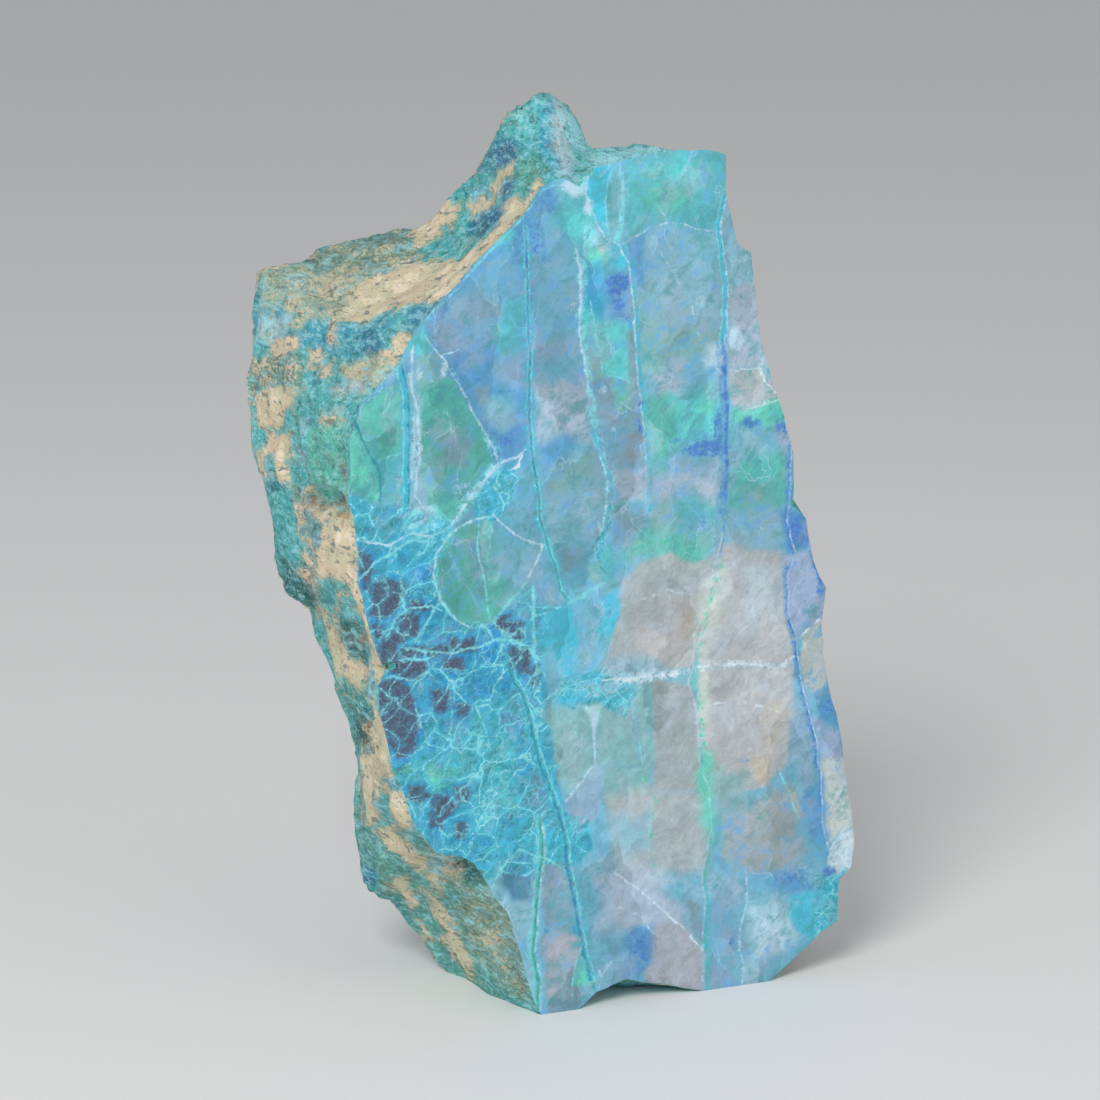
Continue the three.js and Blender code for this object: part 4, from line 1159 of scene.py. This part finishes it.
class Shader:
    """Short calls that add nodes to a material."""

    def __init__(self, name):
        self.material = bpy.data.materials.new(name)
        self.material.use_nodes = True
        self.tree = self.material.node_tree
        self.surface = self.tree.nodes["Principled BSDF"]

    def feed(self, socket, value):
        """Link a socket to another one, or give it a constant value."""
        if isinstance(value, bpy.types.NodeSocket):
            self.tree.links.new(value, socket)
        else:
            socket.default_value = value

    def node(self, kind, settings=(), **sockets):
        """Add a node. Its sockets are given by name, or by number as in i0."""
        node = self.tree.nodes.new(kind)
        for key, value in dict(settings).items():
            setattr(node, key, value)
        for key, value in sockets.items():
            self.feed(node.inputs[int(key[1:]) if key[1:].isdigit() else key], value)
        return node

    def set(self, socket, value):
        self.feed(self.surface.inputs[socket], value)

    def bump(self, height, strength, distance):
        node = self.node("ShaderNodeBump", Height=height, Strength=strength, Distance=distance)
        self.set("Normal", node.outputs[0])

    def attribute(self, name):
        return self.node("ShaderNodeAttribute", {"attribute_name": name})

    def value(self, name):
        return self.attribute(name).outputs["Fac"]

    def colour(self, name):
        return self.attribute(name).outputs["Color"]

    def math(self, operation, first, second=0.0, third=0.0):
        return self.node("ShaderNodeMath", {"operation": operation}, i0=first, i1=second, i2=third).outputs[0]

    def plus(self, first, second):
        return self.math("ADD", first, second)

    def times(self, first, second):
        return self.math("MULTIPLY", first, second)

    def vector(self, operation, first, second=(0, 0, 0)):
        return self.node("ShaderNodeVectorMath", {"operation": operation}, i0=first, i1=second).outputs[0]

    def ramp(self, value, start, end, low=0.0, high=1.0):
        smooth = {"interpolation_type": "SMOOTHSTEP"}
        node = self.node("ShaderNodeMapRange", smooth, i0=value, i1=start, i2=end, i3=low, i4=high)
        return node.outputs[0]

    def mix(self, factor, first, second, blend="MIX"):
        settings = {"data_type": "RGBA", "blend_type": blend}
        node = self.node("ShaderNodeMix", settings, i0=factor, i6=first, i7=second)
        return node.outputs[2]

    def noise(self, place, scale, detail=3.0, rough=0.55):
        node = self.node("ShaderNodeTexNoise", Vector=place, Scale=scale, Detail=detail, Roughness=rough)
        return node.outputs["Fac"]

    def offset(self, field, amount):
        """A noise as values on both sides of zero."""
        return self.times(self.math("SUBTRACT", field, 0.5), amount)

    def stirred(self, field, *noises):
        """A field with noises added to it, each given with its amount."""
        for noise, amount in noises:
            field = self.plus(field, self.offset(noise, amount))
        return field

    def cells(self, place, scale):
        """Cells: how near their edges are, and three chance values of each cell."""
        edges = self.node("ShaderNodeTexVoronoi", {"feature": "DISTANCE_TO_EDGE"}, Vector=place, Scale=scale)
        chances = self.node("ShaderNodeTexVoronoi", {"feature": "F1"}, Vector=place, Scale=scale)
        split = self.node("ShaderNodeSeparateColor", Color=chances.outputs["Color"])
        return edges.outputs["Distance"], split.outputs

    def place(self, stretch=(1, 1, 1)):
        """Object coordinates in millimetres, with each axis squeezed."""
        coordinates = self.node("ShaderNodeTexCoord").outputs["Object"]
        return self.vector("MULTIPLY", coordinates, tuple(part / MM for part in stretch))

    def drifted(self, place, scale, amount):
        """Places pushed about by smooth noise, so that what is drawn there bends."""
        shift = self.node("ShaderNodeTexNoise", Vector=place, Scale=scale, Detail=3.0).outputs["Color"]
        centred = self.vector("SUBTRACT", shift, (0.5, 0.5, 0.5))
        return self.vector("ADD", place, self.vector("MULTIPLY", centred, (amount, amount, amount)))

    def turned(self, place, stretch):
        """Places turned to the direction of the crazing, with each axis squeezed."""
        turned = self.node("ShaderNodeMapping", Vector=place, Rotation=(0, CRACKLE_TURN, 0)).outputs[0]
        return self.vector("MULTIPLY", turned, stretch)

    def blend(self, ground, field, start, end, colour, strength=1.0):
        """Blend a palette colour in where a field goes from start to end."""
        return self.mix(self.ramp(field, start, end, 0.0, strength), ground, tint(colour))

    def blends(self, ground, rows):
        """Blend palette colours in one after another: field, start, end, colour and strength of each."""
        for row in rows:
            ground = self.blend(ground, *row)
        return ground

    def shade(self, ground, tone):
        return self.mix(1.0, ground, tone, "MULTIPLY")


def tint(name):
    return (*linear(name), 1.0)


def stroke_noises(shader, place):
    """How far strokes swing, how uneven their edges are and how patchy they are."""
    swing = shader.offset(shader.noise(place, 0.3, 4.0), 7.0)
    swing = shader.stirred(swing, (shader.noise(place, 1.6, 4.0), 3.0))
    ragged = shader.offset(shader.noise(place, 1.3, 6.0, 0.75), 6.0)
    crumble = shader.offset(shader.noise(place, 0.6, 6.0, 0.7), 5.5)
    return swing, ragged, crumble


def stroke_layer(shader, under, number, noises, tone):
    """Draw one layer of strokes over a colour: wide ones have softer edges and weak ones are patchy."""
    swing, ragged, crumble = noises
    field = shader.attribute(f"stroke field {number}").outputs["Vector"]
    distance, half, strength = shader.node("ShaderNodeSeparateXYZ", Vector=field).outputs
    distance = shader.math("ABSOLUTE", shader.plus(distance, swing))
    softness = shader.math("MULTIPLY_ADD", shader.math("MAXIMUM", half, 0.0), 0.3, 0.7)
    edge = shader.math("SUBTRACT", shader.plus(half, ragged), distance)
    inside = shader.ramp(shader.math("DIVIDE", edge, softness), -1.0, 1.0)
    patches = shader.times(shader.math("SUBTRACT", 1.4, strength), crumble)
    strength = shader.math("MAXIMUM", shader.plus(strength, patches), 0.0)
    cover = shader.times(inside, strength)
    return shader.mix(cover, under, shader.shade(shader.colour(f"stroke colour {number}"), tone))


def seamed(shader, ground, edges, noises, wobbly, dark):
    """Pale seams along the edges of the cells, fainter where the rock is dark."""
    large, small, tiny = edges
    patchy, ragged, grit = noises
    clear = shader.math("MULTIPLY_ADD", dark, -0.7, 1.0)
    thin = shader.times(shader.ramp(patchy, 0.42, 0.62, 0.05, 0.6), clear)
    dusty = shader.times(shader.ramp(ragged, 0.5, 0.66, 0.0, 0.4), clear)
    seam = shader.ramp(shader.stirred(patchy, (grit, 0.5)), 0.36, 0.58, 0.1, 0.9)
    seam = shader.times(seam, shader.math("MULTIPLY_ADD", dark, -0.4, 1.0))
    crumbs = shader.ramp(grit, 0.54, 0.64, 0.0, 0.8)
    lip = shader.math("ABSOLUTE", wobbly)
    return shader.blends(ground, [
        (large, 0.14, 0.0, "cyan", shader.times(clear, 0.55)),
        (small, 0.06, 0.01, "aqua", thin),
        (tiny, 0.1, 0.02, "aqua", dusty),
        (large, 0.03, 0.01, "aqua", seam),
        (large, 0.04, 0.01, "ice", crumbs),
        (lip, 1.4, 0.3, "aqua", shader.ramp(patchy, 0.45, 0.6, 0.0, 0.5)),
    ])


def crackled(shader, ground, place):
    """Turquoise crazed into small cells whose pale seams run mostly up to the right, and dark patches."""
    turned = shader.turned(shader.drifted(place, 0.3, 3.0), (0.7, 1, 1.1))
    edges, (large, small, tiny) = zip(*(shader.cells(turned, scale) for scale in (0.22, 0.6, 1.7)))
    streaks = shader.noise(turned, 0.6, 5.0, 0.62)
    patchy = shader.noise(place, 0.28, 5.0, 0.6)
    ragged = shader.noise(place, 0.9, 6.0, 0.7)
    grit = shader.noise(place, 2.6, 4.0, 0.7)
    wobbly = shader.stirred(shader.value("dark"), (ragged, 22.0), (patchy, 12.0))
    blend = shader.blends(ground, [
        (large[0], 0.2, 1.0, "deep", 0.45),
        (small[1], 0.5, 1.0, "azure", 0.3),
        (small[0], 0.5, 1.0, "lagoon", 0.6),
        (streaks, 0.53, 0.66, "cyan", 0.65),
        (streaks, 0.48, 0.36, "deep", 0.8),
        (ragged, 0.56, 0.68, "lapis", 0.3),
    ])
    blend = shader.shade(blend, shader.ramp(tiny[0], 0.0, 1.0, 0.88, 1.12))
    blend = shader.blend(blend, wobbly, -10.0, 0.0, "azure", 0.6)
    grainy = shader.blends(tint("purple"), [
        (grit, 0.5, 0.68, "slate", 0.5),
        (streaks, 0.52, 0.64, "dusk", 0.75),
    ])
    dark = shader.ramp(wobbly, -4.5, 1.5, 0.0, 0.97)
    blend = seamed(shader, shader.mix(dark, blend, grainy), edges, (patchy, ragged, grit), wobbly, dark)
    return shader.mix(shader.ramp(shader.value("crackle"), 0.3, 0.7), ground, blend)


def faceted(shader, ground, place, shown):
    """Fracture planes inside the stone, each of its own tone, with pale hairlines along some of them."""
    tall = shader.vector("MULTIPLY", place, (1, 1, 0.5))
    for scale, line, low, high in ((0.1, 0.012, 0.87, 1.12), (0.3, 0.018, 0.93, 1.07)):
        edge, chance = shader.cells(tall, scale)
        ground = shader.shade(ground, shader.ramp(chance[0], 0.0, 1.0, low, high))
        ground = shader.blend(ground, edge, line, line / 4, "ice", shown)
    return ground


def speckled(shader, ground, grain, name, colour, strength, faint=None):
    """Grainy spots of one mineral where its amount says so, in a fainter colour where there is little."""
    amount = shader.value(name)
    field = shader.times(amount, shader.stirred(1.0, (grain, 5.0)))
    pigment = shader.blend(tint(faint or colour), field, 0.5, 1.0, colour)
    return shader.mix(shader.ramp(field, 0.25, 0.75, 0.0, strength), ground, pigment)


def clouded(shader, place, bent, smoke):
    """The face's ground with coloured clouds and fracture planes, fainter where the quartz is clear."""
    haze = shader.noise(bent, 0.14, 5.0, 0.62)
    where = shader.noise(place, 0.1, 4.0)
    calm = shader.value("calm")
    lively = shader.ramp(calm, 0.1, 0.9, 0.7, 0.06)
    ground = shader.blends(shader.colour("ground"), [
        (haze, 0.5, 0.64, "pearl", 0.35),
        (haze, 0.48, 0.35, "lagoon", shader.times(lively, 0.55)),
        (smoke, 0.48, 0.6, "blue", shader.times(shader.ramp(where, 0.45, 0.58), lively)),
        (smoke, 0.51, 0.38, "teal", shader.times(shader.ramp(where, 0.55, 0.42), lively)),
    ])
    shown = shader.ramp(shader.noise(place, 0.12, 4.0), 0.5, 0.64, 0.0, 0.4)
    return faceted(shader, ground, bent, shader.times(shown, shader.ramp(calm, 0.0, 1.0, 1.0, 0.4)))


def polished_material(layers):
    """The polished face: milky quartz, azurite, crazed turquoise and veins under a glassy polish."""
    shader = Shader("polished chrysocolla")
    place = shader.place()
    bent = shader.drifted(place, 0.16, 7.0)
    bloom = shader.noise(place, 0.4, 8.0, 0.72)
    grit = shader.noise(place, 1.2, 6.0, 0.7)
    fine = shader.noise(place, 3.4, 3.0)
    silk = shader.noise(shader.turned(bent, (0.3, 1, 1.2)), 0.7, 7.0, 0.7)
    smoke = shader.times(shader.plus(bloom, silk), 0.5)
    ground = clouded(shader, place, bent, smoke)
    ground = speckled(shader, ground, bloom, "green", "green", 0.5)
    ground = speckled(shader, ground, grit, "milk", "ice", 0.7)
    ground = speckled(shader, ground, grit, "azurite", "azurite", 0.85, "blue")
    ground = crackled(shader, ground, place)
    tone = shader.ramp(smoke, 0.36, 0.64, 0.84, 1.16)
    tone = shader.times(tone, shader.ramp(fine, 0.3, 0.7, 0.96, 1.04))
    ground = shader.shade(ground, tone)
    noises = stroke_noises(shader, place)
    for number in range(layers):
        ground = stroke_layer(shader, ground, number, noises, tone)
    shader.set("Base Color", ground)
    shader.set("Roughness", shader.ramp(grit, 0.3, 0.7, 0.26, 0.36))
    for socket, value in POLISH.items():
        shader.set(socket, value)
    shader.bump(fine, 0.03, 0.2 * MM)
    return shader.material


def crust_colour(shader, bent, streaks, patch, flecks, grain):
    """The tan crust's paler, rosy and dark grains, and its fine cracks."""
    crack = shader.math("ABSOLUTE", shader.offset(shader.noise(bent, 0.5, 5.0, 0.65), 1.0))
    return shader.blends(tint("tan"), [
        (streaks, 0.48, 0.6, "straw", 0.6),
        (patch, 0.54, 0.66, "rose", 0.5),
        (patch, 0.49, 0.39, "bone", 0.85),
        (grain, 0.43, 0.35, "olive", 0.3),
        (flecks, 0.42, 0.37, "fleck", 0.75),
        (crack, 0.008, 0.002, "shade", shader.ramp(patch, 0.46, 0.56, 0.0, 0.75)),
    ])


def rock_material():
    """The rough sides: layered teal rock with grainy tan crust, with painted highlight on raised grains and
    painted shade in pits and deep hollows.
    """
    shader = Shader("rough rind")
    place = shader.place((1, 0.6, 1))
    bent = shader.drifted(place, 0.25, 4.0)
    wavy = shader.vector("MULTIPLY", bent, (0.6, 0.7, 1.15))
    streaks = shader.noise(wavy, 0.4, 7.0, 0.68)
    flecks = shader.noise(wavy, 0.85, 5.0, 0.6)
    patch = shader.noise(bent, 0.36, 7.0, 0.7)
    speckle = shader.noise(place, 1.5, 6.0, 0.72)
    grain = shader.noise(place, 4.0, 4.0, 0.7)
    ground = shader.blends(shader.colour("rock ground"), [
        (streaks, 0.52, 0.62, "lichen", 0.25),
        (streaks, 0.47, 0.38, "rock blue", 0.35),
        (patch, 0.53, 0.63, "rock green", 0.45),
        (patch, 0.46, 0.36, "navy", 0.45),
        (flecks, 0.53, 0.61, "foam", 0.6),
        (flecks, 0.45, 0.38, "pine", 0.5),
        # Pale silver and ice grains where speckle and grain rise, which the bump below also raises, and dark
        # pine and ink ones where they sink: painted highlight on raised grains and painted shade in pits,
        # over the rock's own mottling.
        (speckle, 0.52, 0.62, "silver", 0.55),
        (speckle, 0.46, 0.37, "pine", 0.45),
        (grain, 0.55, 0.64, "ice", 0.4),
        (grain, 0.43, 0.35, "ink", 0.35),
    ])
    field = shader.stirred(shader.value("crust"), (patch, 1.3), (speckle, 2.0), (streaks, 1.5), (grain, 0.8))
    crust = shader.ramp(field, 0.46, 0.62)
    ground = shader.mix(crust, ground, crust_colour(shader, bent, streaks, patch, flecks, grain))
    # Painted shade in the deep hollows of the relief and painted light on its high ground and along the
    # face's rim.
    ground = shader.shade(ground, shader.ramp(shader.value("depth"), 0.4, 1.5, 1.28, 0.82))
    shader.set("Base Color", ground)
    shader.set("Roughness", ROCK_ROUGHNESS)
    height = shader.math("MULTIPLY_ADD", grain, 0.4, shader.math("MULTIPLY_ADD", crust, 0.15, speckle))
    shader.bump(height, 0.7, 1.4 * MM)
    return shader.material


def build_stone(frame):
    low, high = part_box(NODE)
    mesh, polished, layers = make_surface(frame["nodes"][NODE], low, high)
    print("stroke layers", layers)
    stone = add_object("stone", mesh)
    mesh.materials.clear()
    mesh.materials.append(polished_material(layers))
    mesh.materials.append(rock_material())
    for face, flat in zip(mesh.polygons, polished):
        face.use_smooth = True
        face.material_index = 0 if flat else 1
    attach(stone, "root")
    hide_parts(NODE)
    return stone


def add_light(name, place, power, size):
    aim = Vector((0, 0, TARGET_Z))
    lamp = bpy.data.lights.new(name, "AREA")
    lamp.energy = power
    lamp.shape = "DISK"
    lamp.size = size
    holder = add_object(name, lamp)
    holder.location = place
    holder.rotation_euler = (Vector(place) - aim).to_track_quat("Z", "Y").to_euler()


def add_stage():
    bpy.ops.mesh.primitive_plane_add(size=FLOOR_SIZE)
    floor = bpy.context.object
    floor.name = "floor"
    paper = Shader("pale floor")
    paper.set("Base Color", FLOOR_COLOUR)
    paper.set("Roughness", FLOOR_ROUGHNESS)
    floor.data.materials.append(paper.material)
    world = bpy.data.worlds.new("world")
    world.use_nodes = True
    sky = world.node_tree.nodes["Background"].inputs
    sky["Color"].default_value = SKY_COLOUR
    sky["Strength"].default_value = SKY_LIGHT
    bpy.context.scene.world = world
    add_light("key", **KEY)
    add_light("fill", **FILL)
    bpy.context.scene.view_settings.view_transform = "Standard"


def main():
    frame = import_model()
    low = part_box(NODE)[0]
    add_camera(low)
    stone = build_stone(frame)
    add_stage()
    print("stone", len(stone.data.vertices), "points,",
          sum(len(face.vertices) - 2 for face in stone.data.polygons), "triangles")


main()
